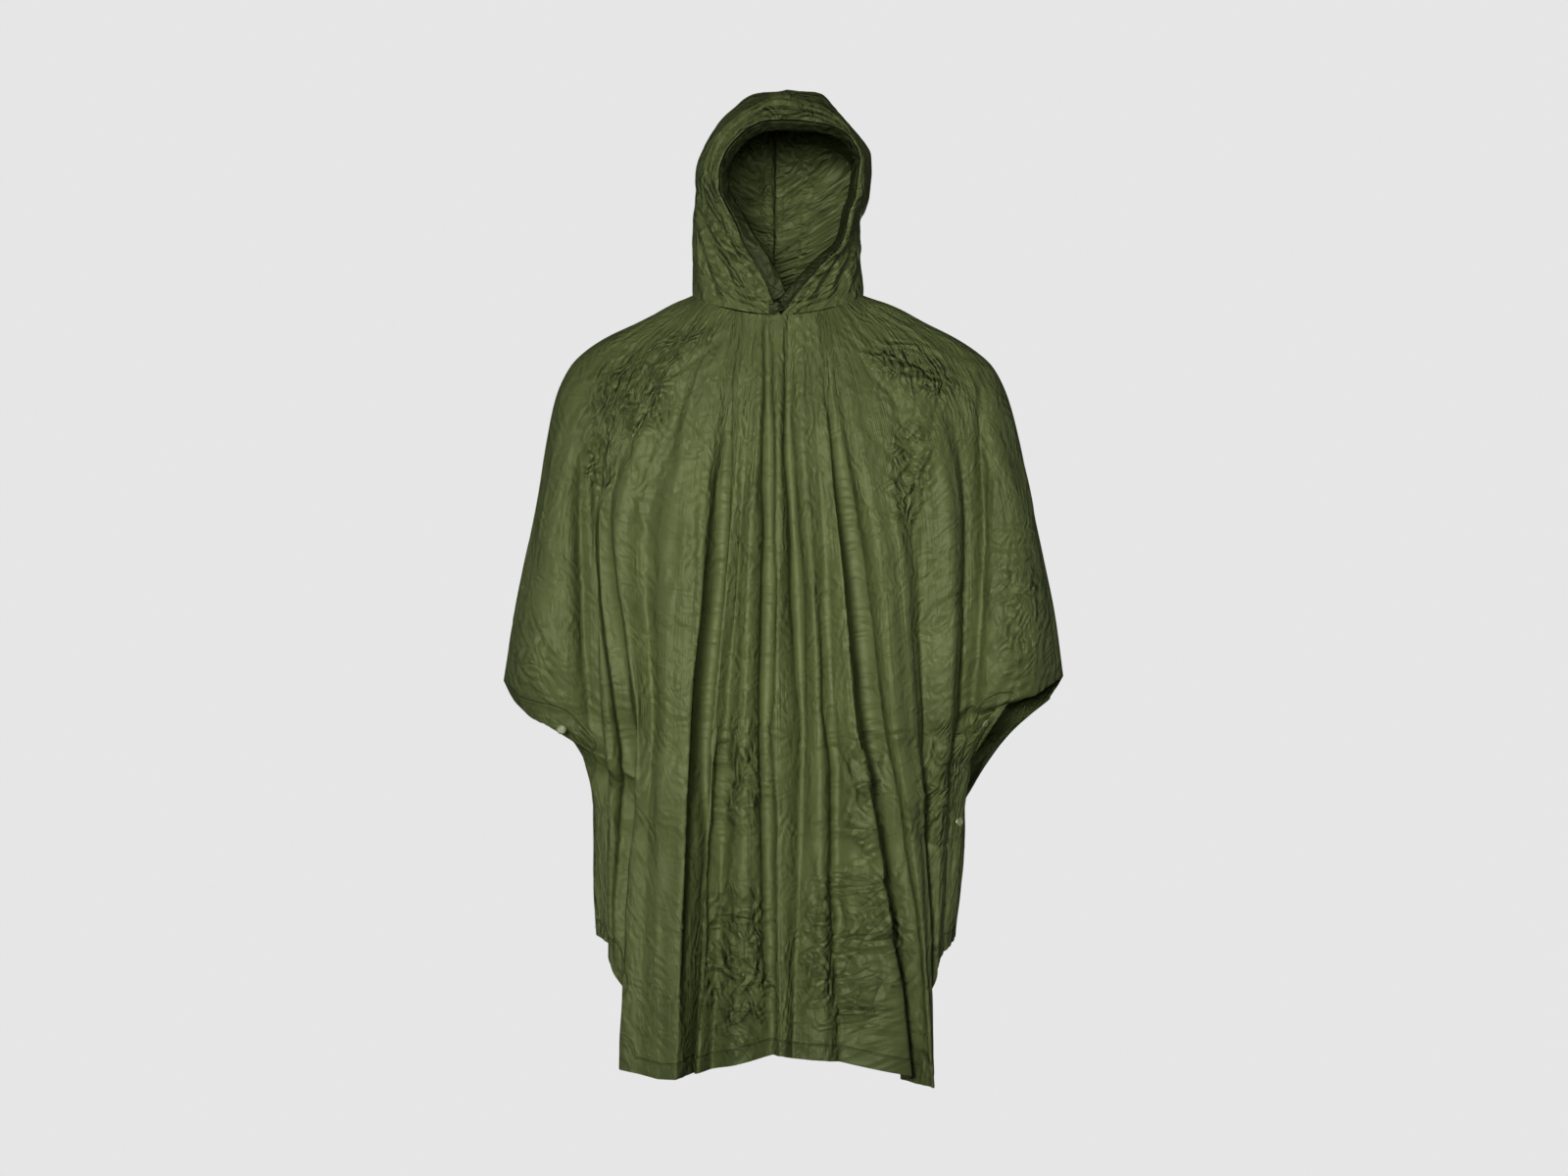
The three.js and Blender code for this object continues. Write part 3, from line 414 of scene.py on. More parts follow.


# %% Creases of the front, as the camera sees them: points (x, z), half width, depth
FRONT_CREASES = [
    # Bottoms of the long troughs, where the vinyl folds on itself.
    ([(-66, -130), (-72, -210), (-85, -369), (-97, -497), (-106, -625), (-112, -755), (-121, -919)],
     8.5, -21),
    ([(60, -114), (70, -161), (94, -348), (117, -547), (156, -755), (182, -964)], 8.5, -20),
    ([(-18, -40), (-16, -161), (-16, -348), (-21, -547), (-17, -755), (-11, -950)], 5.5, -11),
    ([(9, -40), (9, -161), (19, -348), (28, -547), (23, -755)], 5, -8),
    ([(-256, -169), (-255, -269), (-250, -369), (-246, -494), (-240, -569)], 8, -19),
    ([(258, -99), (256, -300), (248, -450), (237, -594)], 8, -20),
    ([(-245, -134), (-229, -306), (-204, -516), (-194, -575), (-196, -658), (-210, -771), (-209, -850)],
     8.5, -18),
    ([(56, -306), (58, -519), (71, -600), (72, -869)], 7, -9),
    ([(-71, -538), (-81, -690), (-92, -788), (-102, -931)], 7, -10),
    # Left shoulder: lines that fan from the neck to the shoulder patch.
    ([(-84, -30), (-140, -52), (-196, -82)], 4, -3),
    ([(-78, -36), (-128, -64), (-172, -96)], 3.5, 2.5),
    ([(-92, -44), (-140, -76), (-190, -84), (-224, -82)], 3, -3),
    ([(-66, -44), (-100, -70), (-150, -104), (-180, -116)], 3.5, -3.5),
    ([(-62, -52), (-90, -84), (-128, -112)], 3, 2),
    ([(-180, -66), (-214, -60)], 3, -2),
    ([(-164, -92), (-210, -112), (-232, -140)], 3.5, -3),
    ([(-206, -104), (-190, -128), (-156, -140)], 3, -3),
    ([(-186, -100), (-176, -130), (-186, -152)], 3, 2.5),
    ([(-168, -126), (-150, -150), (-152, -162)], 3, -3.5),
    ([(-236, -122), (-216, -150), (-210, -170)], 3.5, -3),
    ([(-224, -132), (-196, -150), (-172, -142)], 3, 2.5),
    ([(-216, -158), (-206, -178), (-232, -186)], 3, -2.5),
    ([(-146, -118), (-136, -150), (-150, -178)], 4, -3.5),
    ([(-196, -168), (-192, -204), (-184, -250), (-170, -290)], 4, -2.5),
    ([(-214, -186), (-198, -214), (-186, -232)], 3, 2),
    ([(-232, -170), (-236, -200)], 3, -3),
    ([(-248, -190), (-240, -236), (-234, -270)], 3, -2.5),
    # Chest, left half: long draws and short pulls.
    ([(-200, -242), (-184, -256), (-170, -296), (-160, -316)], 3.5, -4),
    ([(-188, -250), (-176, -272), (-166, -300)], 3, 3),
    ([(-160, -316), (-164, -336), (-158, -362)], 4, -4),
    ([(-120, -104), (-138, -176), (-144, -240)], 5, -3),
    ([(-96, -110), (-112, -170), (-116, -215)], 3.5, 2),
    ([(-84, -130), (-92, -150), (-106, -190)], 3, 2),
    ([(-70, -150), (-84, -180)], 3, -2),
    ([(-132, -230), (-136, -300), (-142, -380)], 6, -3),
    ([(-122, -235), (-124, -320), (-126, -420)], 4, 3),
    ([(-112, -240), (-112, -330), (-116, -470)], 4, -3),
    ([(-102, -250), (-102, -350), (-106, -480)], 4, 3),
    # Right shoulder.
    ([(96, -36), (124, -60), (160, -74), (196, -84)], 4, -3),
    ([(108, -48), (140, -58), (176, -62), (214, -74)], 3, 2.5),
    ([(112, -66), (150, -70), (186, -92), (204, -98)], 3, -3),
    ([(100, -70), (118, -98), (142, -124), (160, -150)], 4.5, -3.5),
    ([(142, -78), (168, -92), (196, -96)], 3, 2),
    ([(214, -96), (204, -120), (196, -150), (188, -186)], 3.5, -3.5),
    ([(222, -98), (212, -122), (202, -148)], 3, 2.5),
    ([(190, -110), (176, -140), (172, -180)], 3.5, 2.5),
    ([(150, -148), (164, -178), (180, -194)], 3.5, -4),
    ([(176, -196), (164, -216), (150, -240)], 3.5, -3.5),
    ([(158, -220), (172, -224), (166, -244), (144, -262)], 3, 3),
    ([(180, -232), (164, -250), (146, -270)], 3, -3.5),
    ([(150, -268), (146, -296), (152, -320)], 4, 3),
    ([(60, -130), (76, -150), (96, -168)], 3, -2.5),
    ([(80, -152), (98, -168), (112, -180)], 3, 2),
    ([(46, -60), (58, -110), (60, -150)], 3, -2),
    ([(70, -60), (64, -90), (66, -130)], 3.5, -2),
    # Right sleeve: level creases where it was folded, and pulls to the corner.
    ([(256, -290), (290, -292), (330, -293)], 3, -3),
    ([(256, -296), (296, -302), (332, -300)], 3, 2.5),
    ([(256, -316), (290, -316), (326, -314)], 3, -3.5),
    ([(256, -326), (292, -328), (328, -327)], 2.5, 3),
    ([(256, -342), (300, -344), (330, -342)], 3, -2.5),
    ([(258, -310), (280, -320), (306, -336)], 3, -2.5),
    ([(262, -362), (276, -384)], 3, 2),
    ([(258, -440), (272, -470), (300, -440), (322, -420)], 5, -3),
    ([(254, -520), (280, -486), (316, -444)], 4, 3),
    ([(286, -400), (306, -430), (330, -454)], 4, -3),
    # Right flank: slanting creases.
    ([(172, -420), (200, -396), (240, -370)], 3.5, -3.5),
    ([(166, -438), (206, -402), (246, -378)], 3.5, -3.5),
    ([(176, -428), (208, -408)], 3, 2.5),
    ([(186, -330), (206, -350), (232, -356)], 3, -2),
    ([(160, -340), (174, -360)], 3, 2),
    # Lower front: the looped shade, slack folds and pulls.
    ([(-90, -540), (-80, -580), (-62, -620), (-44, -600), (-30, -560)], 7, -5),
    ([(-96, -664), (-72, -680), (-46, -688)], 4, -4),
    ([(-60, -548), (-40, -596), (-24, -640)], 5, 3),
    ([(-30, -536), (-12, -552), (20, -560)], 4, 3),
    ([(-72, -640), (-52, -668)], 4, 3),
    ([(92, -706), (120, -724), (166, -780)], 4, -4),
    ([(96, -690), (134, -720)], 3.5, 3),
    ([(60, -560), (84, -600), (100, -660)], 4, -3.5),
    ([(96, -560), (112, -600), (118, -640)], 4, 3.5),
    ([(110, -690), (124, -760), (146, -820), (166, -860)], 4, -3.5),
    ([(-96, -740), (-84, -800), (-92, -860)], 5, -4),
    ([(-70, -740), (-62, -820), (-40, -880)], 5, -4),
    ([(-52, -760), (-66, -812), (-60, -880)], 4, 3.5),
    ([(-36, -720), (-30, -800), (-44, -860), (-34, -910)], 4.5, -4),
    ([(30, -700), (44, -760), (36, -820), (52, -880)], 5, -4),
    ([(60, -720), (76, -790), (68, -850), (92, -900)], 5, -4),
    ([(84, -760), (104, -820), (96, -880)], 4, 3.5),
    ([(112, -800), (132, -850), (126, -900)], 4, -3.5),
    # Right side below the arm.
    ([(180, -580), (200, -600), (232, -590)], 3.5, -3),
    ([(172, -640), (200, -620), (226, -640)], 3.5, 3),
    ([(180, -680), (200, -700), (226, -690)], 3.5, -3),
    # Left sleeve.
    ([(-308, -300), (-286, -340), (-300, -380)], 4, 2.5),
    ([(-322, -420), (-300, -440), (-286, -480)], 4, -3),
    ([(-330, -470), (-310, -490), (-290, -510)], 4, 2.5),
    ([(-262, -240), (-258, -340), (-256, -430)], 4, -3),
]
print("hand-placed creases in front:", len(FRONT_CREASES))


# %% [markdown]
# ## Packing creases
# The vinyl was folded small and pressed, so whole areas carry short straight creases with sharp
# crests. They are scattered by rule over soft oval zones, each with its own main direction.

# %% Zones of scattered creases, as the camera sees them
ZONE_COLUMNS = ("x", "z", "wide", "tall", "lean", "count", "angle", "spread", "long", "half", "deep")
FRONT_ZONES = [
    (-165, -62, 75, 34, 0.4, 26, 0.36, 0.25, 46, 4.2, 1.5),
    (-190, -112, 62, 62, 0.5, 58, 0.9, 0.9, 30, 4.2, 2.0),
    (-225, -190, 26, 80, -0.1, 22, 1.45, 0.4, 34, 4.2, 1.6),
    (-188, -240, 22, 80, -0.1, 22, 1.8, 0.5, 30, 4.2, 1.8),
    (150, -66, 80, 26, -0.4, 26, -0.45, 0.25, 44, 4.2, 1.5),
    (160, -100, 70, 45, -0.5, 42, -0.8, 0.8, 30, 4.2, 1.9),
    (158, -220, 34, 100, 0.1, 46, -1.2, 0.8, 32, 4.2, 2.0),
    (292, -320, 46, 60, 0, 22, 0.05, 0.2, 50, 4.2, 1.4),
    (296, -440, 46, 50, 0, 20, 0.6, 0.4, 40, 4.2, 1.4),
    (205, -400, 42, 60, 0, 16, 0.6, 0.3, 50, 4.2, 1.4),
    (198, -650, 36, 110, 0, 30, 0.8, 0.7, 34, 4.2, 1.6),
    (-55, -600, 46, 80, 0, 26, 1.2, 0.7, 36, 4.2, 1.7),
    (-62, -840, 50, 120, 0, 52, 1.4, 0.6, 42, 4.4, 2.1),
    (10, -840, 26, 110, 0, 16, 1.5, 0.5, 34, 4.2, 1.4),
    (95, -820, 76, 150, 0.1, 72, 1.2, 0.8, 40, 4.4, 2.1),
    (110, -600, 34, 90, 0.1, 20, 1.5, 0.6, 38, 4.2, 1.6),
    (-130, -420, 40, 160, 0, 26, 1.5, 0.25, 60, 4.2, 1.2),
    (-310, -440, 40, 80, 0, 18, 0.9, 0.5, 34, 4.2, 1.3),
    (-290, -260, 30, 100, 0, 12, 1.4, 0.3, 40, 4.2, 1.1),
    (-180, -700, 36, 220, 0, 20, 1.3, 0.4, 46, 4.2, 1.1),
    (90, -330, 60, 150, 0, 16, 1.2, 0.5, 36, 4.2, 0.9),
    (-60, -230, 50, 120, 0, 16, 1.4, 0.4, 36, 4.2, 0.9),
]
BACK_ZONES = [
    (-170, -90, 90, 55, 0.4, 56, 0.8, 0.9, 34, 4.2, 1.9),
    (170, -95, 90, 55, -0.4, 56, -0.8, 0.9, 34, 4.2, 1.9),
    (-210, -230, 40, 110, 0, 34, 1.4, 0.5, 36, 4.2, 1.6),
    (205, -240, 40, 110, 0, 34, 1.6, 0.5, 36, 4.2, 1.6),
    (0, -110, 70, 50, 0, 26, 1.4, 0.7, 34, 4.2, 1.3),
    (-80, -420, 90, 110, 0, 26, 0.9, 0.9, 40, 4.2, 1.2),
    (90, -470, 90, 110, 0, 26, 1.9, 0.8, 40, 4.2, 1.2),
    (-95, -810, 80, 150, 0, 66, 1.3, 0.8, 40, 4.4, 2.0),
    (85, -830, 80, 150, 0, 66, 1.7, 0.8, 40, 4.4, 2.0),
    (-295, -380, 40, 110, 0, 24, 0.9, 0.6, 36, 4.2, 1.3),
    (300, -390, 40, 110, 0, 24, 2.2, 0.6, 36, 4.2, 1.3),
    (-190, -650, 40, 130, 0, 22, 1.2, 0.6, 38, 4.2, 1.4),
    (190, -660, 40, 130, 0, 22, 1.8, 0.6, 38, 4.2, 1.4),
]


def scattered(zones, seed):
    """Short creases by zone: rows of points, half width and depth, half of them raised."""
    draw = np.random.default_rng(seed)
    creases = []
    for row in zones:
        zone = dict(zip(ZONE_COLUMNS, row))
        c, s = math.cos(zone["lean"]), math.sin(zone["lean"])
        for _ in range(zone["count"]):
            a, b = draw.normal(0, 0.48, 2)
            cx = zone["x"] + zone["wide"] * a * c - zone["tall"] * b * s
            cz = zone["z"] + zone["wide"] * a * s + zone["tall"] * b * c
            angle = zone["angle"] + draw.uniform(-1, 1) * zone["spread"]
            half = zone["long"] * draw.uniform(0.3, 0.75)
            kink = draw.uniform(-0.12, 0.12) * half
            dx, dz = math.cos(angle), math.sin(angle)
            start = (cx - dx * half, cz - dz * half)
            middle = (cx - dz * kink, cz + dx * kink)
            end = (cx + dx * half, cz + dz * half)
            deep = zone["deep"] * draw.uniform(0.2, 0.6) * draw.choice([-1, 1])
            creases.append(([start, middle, end], zone["half"] * draw.uniform(0.75, 1.2), deep))
    return creases


FRONT_PRESSED = scattered(FRONT_ZONES, 11)
BACK_PRESSED = scattered(BACK_ZONES, 12)
print("pressed creases:", len(FRONT_PRESSED), "in front,", len(BACK_PRESSED), "behind")


# %% [markdown]
# ## The sheet
# Front and back are one sheet on the real garment. They are made as two grids that meet exactly on
# the fold over the shoulders. The free edges are folded in once and welded 20 mm from the edge, so
# a second layer lies inside there, and the mesh carries each point's distance from the edge for
# the weld line in the material.

# %% Relief of a body panel
# Patches of crumpled cloth, as the camera sees them: x, z, half width, half height, lean, strength.
FRONT_PATCHES = [
    (-190, -125, 75, 60, 0.5, 1), (-130, -60, 70, 26, 0.45, 0.7), (-232, -205, 26, 60, 0, 0.7),
    (165, -90, 80, 34, -0.4, 1), (165, -220, 34, 95, -0.1, 0.9), (205, -620, 40, 110, 0, 0.6),
    (-55, -610, 50, 90, 0, 0.6), (-55, -850, 60, 130, 0, 0.95), (-310, -450, 40, 70, 0, 0.35),
    (90, -830, 90, 150, 0, 0.85), (105, -640, 30, 110, 0, 0.8), (300, -400, 50, 90, 0, 0.45),
]
BACK_PATCHES = [
    (-180, -110, 80, 50, 0.4, 0.9), (180, -115, 80, 50, -0.4, 0.9), (10, -120, 60, 50, 0, 0.5),
    (-90, -800, 80, 140, 0, 0.8), (80, -840, 90, 130, 0, 0.8), (0, -420, 120, 60, 0, 0.4),
]
# Long draws and slack, as rows of size across, size along and height in mm.
FRONT_RELIEF = {
    "patches": FRONT_PATCHES, "draws": [(11, 170, 1.0), (6.5, 90, 0.45)],
    "slack": [(60, 90, 2.2), (30, 45, 1.0)], "creases": FRONT_CREASES, "pressed": FRONT_PRESSED, "seed": 0,
}
BACK_RELIEF = {
    "patches": BACK_PATCHES, "draws": [(12, 180, 1.0), (7, 100, 0.45)],
    "slack": [(60, 90, 2.4), (30, 45, 1.0)], "creases": [], "pressed": BACK_PRESSED, "seed": 100,
}
CRUSH_DEPTH = 0.35
# The share of their height that the draws lose where the cloth is crumpled.
DRAW_CALM = 0.6


def body_relief(spec, x, z, u, v):
    """Small relief of a panel in mm, and how crumpled the cloth is there, from 0 to 1."""
    seed = spec["seed"]
    crumple = np.maximum.reduce([patch(x, z, *place) * strength for *place, strength in spec["patches"]])
    draw = waves(u, v, spec["draws"], seed + 3) * (1 - DRAW_CALM * crumple)
    slack = waves(u, v, spec["slack"], seed + 5)
    rough = crushed(u, v, 24, seed + 20) * CRUSH_DEPTH + crushed(u, v, 12, seed + 40) * CRUSH_DEPTH
    hand_placed = crease_relief(x, z, spec["creases"])
    pressed = crease_relief(x, z, spec["pressed"], sharp=True)
    return draw + slack + rough * crumple + hand_placed + pressed, crumple


# %% Meshes from grids
# Distances from a free edge in mm: the farthest that is measured, and one that is past the weld.
EDGE_REACH = 60.0
PAST_WELD = 40.0
# Points closer than this, in metres, are merged.
MERGE_GAP = 2e-5


def edge_distance(points, edge):
    """Distance of each point from a free edge in mm, up to EDGE_REACH."""
    fine = []
    for a, b in zip(edge[:-1], edge[1:]):
        n = max(int(np.linalg.norm(b - a)), 1)
        fine.extend(a + (b - a) * i / n for i in range(n))
    tree = KDTree(len(fine))
    for i, p in enumerate(fine):
        tree.insert(p, i)
    tree.balance()
    return np.array([min(tree.find(p)[2], EDGE_REACH) for p in points])


def sheet_mesh(name, layers):
    """One object from layers of cloth.

    Each layer has its grid of points and their places on the cut, both in mm, whether its faces are
    turned over, how far its points are from a free edge in mm, and how crumpled it is there.
    """
    points, faces, flat_uv, count = [], [], [], 0
    values = {"edge_mm": [], "crumple": []}
    for grid, cut, flip, edge_mm, crumple in layers:
        rows, cols = grid.shape[:2]
        index = np.arange(rows * cols).reshape(rows, cols) + count
        a, b = index[:-1, :-1].ravel(), index[1:, :-1].ravel()
        c, d = index[1:, 1:].ravel(), index[:-1, 1:].ravel()
        faces.append(np.stack([a, d, c, b] if flip else [a, b, c, d], axis=1))
        points.append(grid.reshape(-1, 3) / 1000)
        flat_uv.append(cut.reshape(-1, 2) / 1000)
        for key, value in (("edge_mm", edge_mm), ("crumple", crumple)):
            values[key].append(np.broadcast_to(value, (rows, cols)).ravel())
        count += rows * cols
    mesh = bpy.data.meshes.new(name)
    mesh.from_pydata(np.concatenate(points).tolist(), [], np.concatenate(faces).tolist())
    uv_layer = mesh.uv_layers.new(name="cut")
    loops = np.empty(len(mesh.loops), dtype=np.int32)
    mesh.loops.foreach_get("vertex_index", loops)
    uv_layer.data.foreach_set("uv", np.concatenate(flat_uv)[loops].ravel())
    for key, parts in values.items():
        attribute = mesh.attributes.new(key, "FLOAT", "POINT")
        attribute.data.foreach_set("value", np.concatenate(parts).astype(np.float32))
    obj = bpy.data.objects.new(name, mesh)
    bpy.context.collection.objects.link(obj)
    merge_doubles(obj)
    return obj


def merge_doubles(obj):
    """Merges doubles, such as those of a collapsed edge, and drops faces without area."""
    work = bmesh.new()
    work.from_mesh(obj.data)
    bmesh.ops.remove_doubles(work, verts=work.verts, dist=MERGE_GAP)
    bmesh.ops.dissolve_degenerate(work, edges=work.edges, dist=MERGE_GAP)
    work.to_mesh(obj.data)
    work.free()
    obj.data.shade_smooth()
    print(obj.name, "triangles", sum(len(p.vertices) - 2 for p in obj.data.polygons))


def arc(grid, axis):
    """Length along a grid from its first row or column, in mm."""
    step = np.linalg.norm(np.diff(grid, axis=axis), axis=2)
    zero = np.zeros_like(step[:1] if axis == 0 else step[:, :1])
    return np.concatenate([zero, np.cumsum(step, axis=axis)], axis=axis)


# %% Front and back of the body
# Size of the mesh in mm. The first stretch under the neck seam has a few finer rows.
STEP = 3.85
NECK_STRETCH = 0.06
NECK_ROWS = 12
# The relief fades out over this share of the length, and over this many mm beside the folds.
RELIEF_FADE = 0.03
FOLD_FADE = 14


def lower_hem(grid, layer, u, v):
    """The second layer inside the lower edge: its points and their places on the cut."""
    stops = np.linspace(0, HEM, 8)
    below = arc(grid[::-1], 0)
    columns = [points_along(layer[::-1, j], below[:, j], stops) for j in range(grid.shape[1])]
    cut = np.stack(np.broadcast_arrays(u[-1:], v[-1:] - stops[::-1, None]), axis=-1)
    return np.stack(columns, axis=1)[::-1], cut


def side_hem(grid, layer, v, rows, side):
    """The second layer inside the free part of a side edge, the first (0) or the last (-1)."""
    stops = np.linspace(0, HEM, 7)
    order = slice(None) if side == 0 else slice(None, None, -1)
    across = arc(grid[:, order], 1)
    strip = [points_along(layer[r, order], across[r], stops) for r in rows]
    cut = [np.stack([stops, np.full(len(stops), v[r, side])], axis=-1) for r in rows]
    return np.array(strip), np.array(cut)


def body_panel(name, spec, relief):
    """One panel of the body with its relief and the second layer inside its free edges."""
    rows = int(1000 / STEP)
    stops = [NECK_STRETCH, MOUTH_TOP, MOUTH_END, 1]
    parts = [np.linspace(a, b, int(rows * (b - a)) + 1)[1:] for a, b in zip(stops[:-1], stops[1:])]
    vs = np.concatenate([np.linspace(0, NECK_STRETCH, NECK_ROWS), *parts])
    grid = panel_grid(spec, even_columns(spec, STEP), vs)
    normal = grid_normals(grid, spec["facing"])
    u = np.broadcast_to(arc(grid, 1)[rows // 2], grid.shape[:2])
    v = arc(grid, 0)
    height, crumple = body_relief(relief, *seen(grid), u, v)
    # The relief fades out at the neck seam and along the shoulder folds, where the panels meet.
    from_sides = np.minimum(arc(grid, 1), arc(grid[:, ::-1], 1)[:, ::-1])
    off_folds = np.maximum(
        smooth(MOUTH_TOP, MOUTH_TOP + RELIEF_FADE, vs)[:, None], smooth(0, FOLD_FADE, from_sides))
    fade = smooth(0, RELIEF_FADE, vs)[:, None] * off_folds
    grid = grid + normal * (height * fade)[..., None]
    free = vs >= MOUTH_TOP
    edge = np.concatenate([grid[free, 0], grid[-1], grid[free, -1][::-1]])
    far = edge_distance(grid.reshape(-1, 3), edge).reshape(grid.shape[:2])
    layer = grid - grid_normals(grid, spec["facing"]) * LAYER_GAP
    turned = spec["facing"] > 0
    layers = [
        (grid, np.stack([u, v], axis=-1), turned, far, crumple),
        (*lower_hem(grid, layer, u, v), not turned, PAST_WELD, 0),
    ]
    strip_rows = np.where(vs >= MOUTH_TOP + 0.005)[0]
    for side in (0, -1):
        strip, cut = side_hem(grid, layer, v, strip_rows, side)
        layers.append((strip, cut, turned == (side == -1), PAST_WELD, 0))
    return sheet_mesh(name, layers)


front_sheet = body_panel("vinyl_front", FRONT, FRONT_RELIEF)
back_sheet = body_panel("vinyl_back", BACK, BACK_RELIEF)

# %% [markdown]
# ## Hood
# Two mirrored pieces are welded along the crown and down the back. Each is a fan of lines that run
# from the neck seam up to the crown seam. Its form is a dome: one table gives how wide the hood is
# at each height, another how far it reaches in front and behind, and the rim of the face opening
# has a path of its own, wide at the temples and running down to the throat in a V.

# %% Sizes of the hood
CROWN_SEAM = [
    (-104, 215), (-84, 240), (-42, 258), (8, 266), (60, 257), (105, 231),
    (135, 190), (146, 140), (138, 92), (119, 52), (98, 26), (88, 14),
]
CROWN_MIDDLE = 8
HOOD_TOP = 266
# Half width of the hood at each height, as (x, z) on each side.
WIDTH = {
    -1: [(113, 4), (112, 72), (110, 142), (109, 162), (98, 195), (80, 223), (56, 245), (38, 260), (22, 265),
         (0, HOOD_TOP)],
    1: [(104, 4), (101, 40), (102, 72), (104, 98), (113, 132), (115, 162), (114, 182), (101, 205),
        (85, 225), (70, 243), (56, 260), (42, 265), (0, HOOD_TOP)],
}
# How far the front of the dome reaches from its middle, as (z, reach).
FRONT_REACH = [(-30, 142), (150, 135), (215, 115), (240, 92), (258, 50), (HOOD_TOP, 0)]
# Rim of the face opening on each side, from the throat up to the middle of the brim, as (x, z).
RIM = {
    -1: [(0, -28), (10, -12), (21, 15), (35, 40), (47, 60), (56, 84), (63, 98), (70, 111), (78, 131),
         (78, 150), (71, 173), (59, 189), (39, 206), (16, 214), (0, 215)],
    1: [(0, -28), (17, -5), (37, 19), (56, 41), (75, 60), (82, 80), (86, 101), (94, 123), (97, 146),
        (99, 166), (90, 189), (76, 202), (54, 210), (22, 214), (0, 215)],
}
# How far back the rim bows at the cheeks, how much the dome flares outside it, and how far the
# crown seam has slipped to one side at the back.
CHEEK_REACH = 14
RIM_FLARE = 40
SEAM_SHIFT = -9
# Points on a path whose corners are rounded off.
FINE_STEPS = 401


def eased(points, spread):
    """A path with the corners of its table rounded off over a share of its length. Its ends stay."""
    fine = path(points)(np.linspace(0, 1, FINE_STEPS))
    n = int(FINE_STEPS * spread)
    before = 2 * fine[0] - fine[n:0:-1]
    after = 2 * fine[-1] - fine[-2:-n - 2:-1]
    padded = np.concatenate([before, fine, after])
    weight = np.hanning(2 * n + 3)[1:-1]
    weight /= weight.sum()
    soft = np.stack([np.convolve(padded[:, c], weight, "valid") for c in (0, 1)], axis=-1)
    return curve(np.linspace(0, 1, FINE_STEPS), soft)


crown = eased(CROWN_SEAM, 0.1)
CROWN_LINE = crown(np.linspace(0, 1, FINE_STEPS))
BACK_LINE = CROWN_LINE[np.argmax(CROWN_LINE[:, 1]):][::-1]


# %% Points of the hood
def neck_point(turn, side):
    """Point of the neck seam, from the throat (0) to the nape (pi)."""
    front = turn < math.pi / 2
    cap = np.abs(np.cos(turn))
    x = (NECK["right"] - NECK["left"]) / 2 * np.sin(turn) + side * (NECK["right"] + NECK["left"]) / 2
    y = np.where(front, NECK["front_y"], NECK["back_y"]) * cap
    z = mix(NECK["side_z"], np.where(front, NECK["front_z"], NECK["back_z"]), cap ** EDGE_DROP)
    return x, y, z


def at_height(rows, z):
    """Width of the hood or its face opening at a height, from rows of (x, z)."""
    return curve([row[1] for row in rows], [row[0] for row in rows])(z)


def hood_grid(side, ts, ds):
    """Points of a hood half: ds from the face edge to the nape, ts from the neck to the crown."""
    t, d = np.meshgrid(ts, ds, indexing="ij")
    fx, fy, fz = neck_point(math.pi * d, side)
    top = crown(d)
    ty, tz = top[..., 0], top[..., 1]
    foot = WIDTH[side][0][1]
    rise = (path(WIDTH[side])(t)[..., 1] - foot) / (HOOD_TOP - foot)
    level = (1 - smooth(0.15, 0.4, d)) * 2.2 * rise * (1 - rise) ** 2
    y = mix(fy, ty, rise)
    z = mix(fz, tz, rise) - (tz - CROWN_SEAM[0][1]) * level
    front = curve([z for z, _ in FRONT_REACH], [reach for _, reach in FRONT_REACH])(z)
    rear = np.interp(z, BACK_LINE[:, 1], BACK_LINE[:, 0] - CROWN_MIDDLE)
    off = np.abs(y - CROWN_MIDDLE) / np.maximum(np.where(y < CROWN_MIDDLE, front, rear), 0.01)
    dome = at_height(WIDTH[side], z) * np.sqrt(np.clip(1 - off ** 2, 0, 1))
    # On the crown seam the two halves meet in the middle.
    dome = np.where(t >= 1, 0, dome)
    out = mix(fx, dome, smooth(0, 0.3, rise))
    # Towards the face opening the dome gives way to the rim, and keeps outside it at every height.
    below = smooth(1, 0.88, t)
    face = 1 - smooth(0, 0.3, d)
    rim = path(RIM[side])(t)
    throat, brim = RIM[side][0][1], RIM[side][-1][1]
    up = np.clip((rim[..., 1] - throat) / (brim - throat), 0, 1)
    rim_y = mix(NECK["front_y"], CROWN_SEAM[0][0], up) + CHEEK_REACH * np.sin(math.pi * up) ** 2
    rim_z = mix(NECK["front_z"], CROWN_SEAM[0][1], up)
    x = mix(out, rim[..., 0], face)
    y = mix(y, rim_y, face * below)
    z = mix(z, rim_z, face * below)
    least = (at_height(RIM[side], z) + RIM_FLARE * np.minimum(d, 0.15)) * below
    x = x + np.maximum(least - x, 0) * smooth(0, 0.04, d)
    shift = SEAM_SHIFT * smooth(0.2, 0.5, d) * smooth(0.5, 1, t) * smooth(1, 0.9, d)
    return np.stack([side * x + shift, y, z], axis=-1)


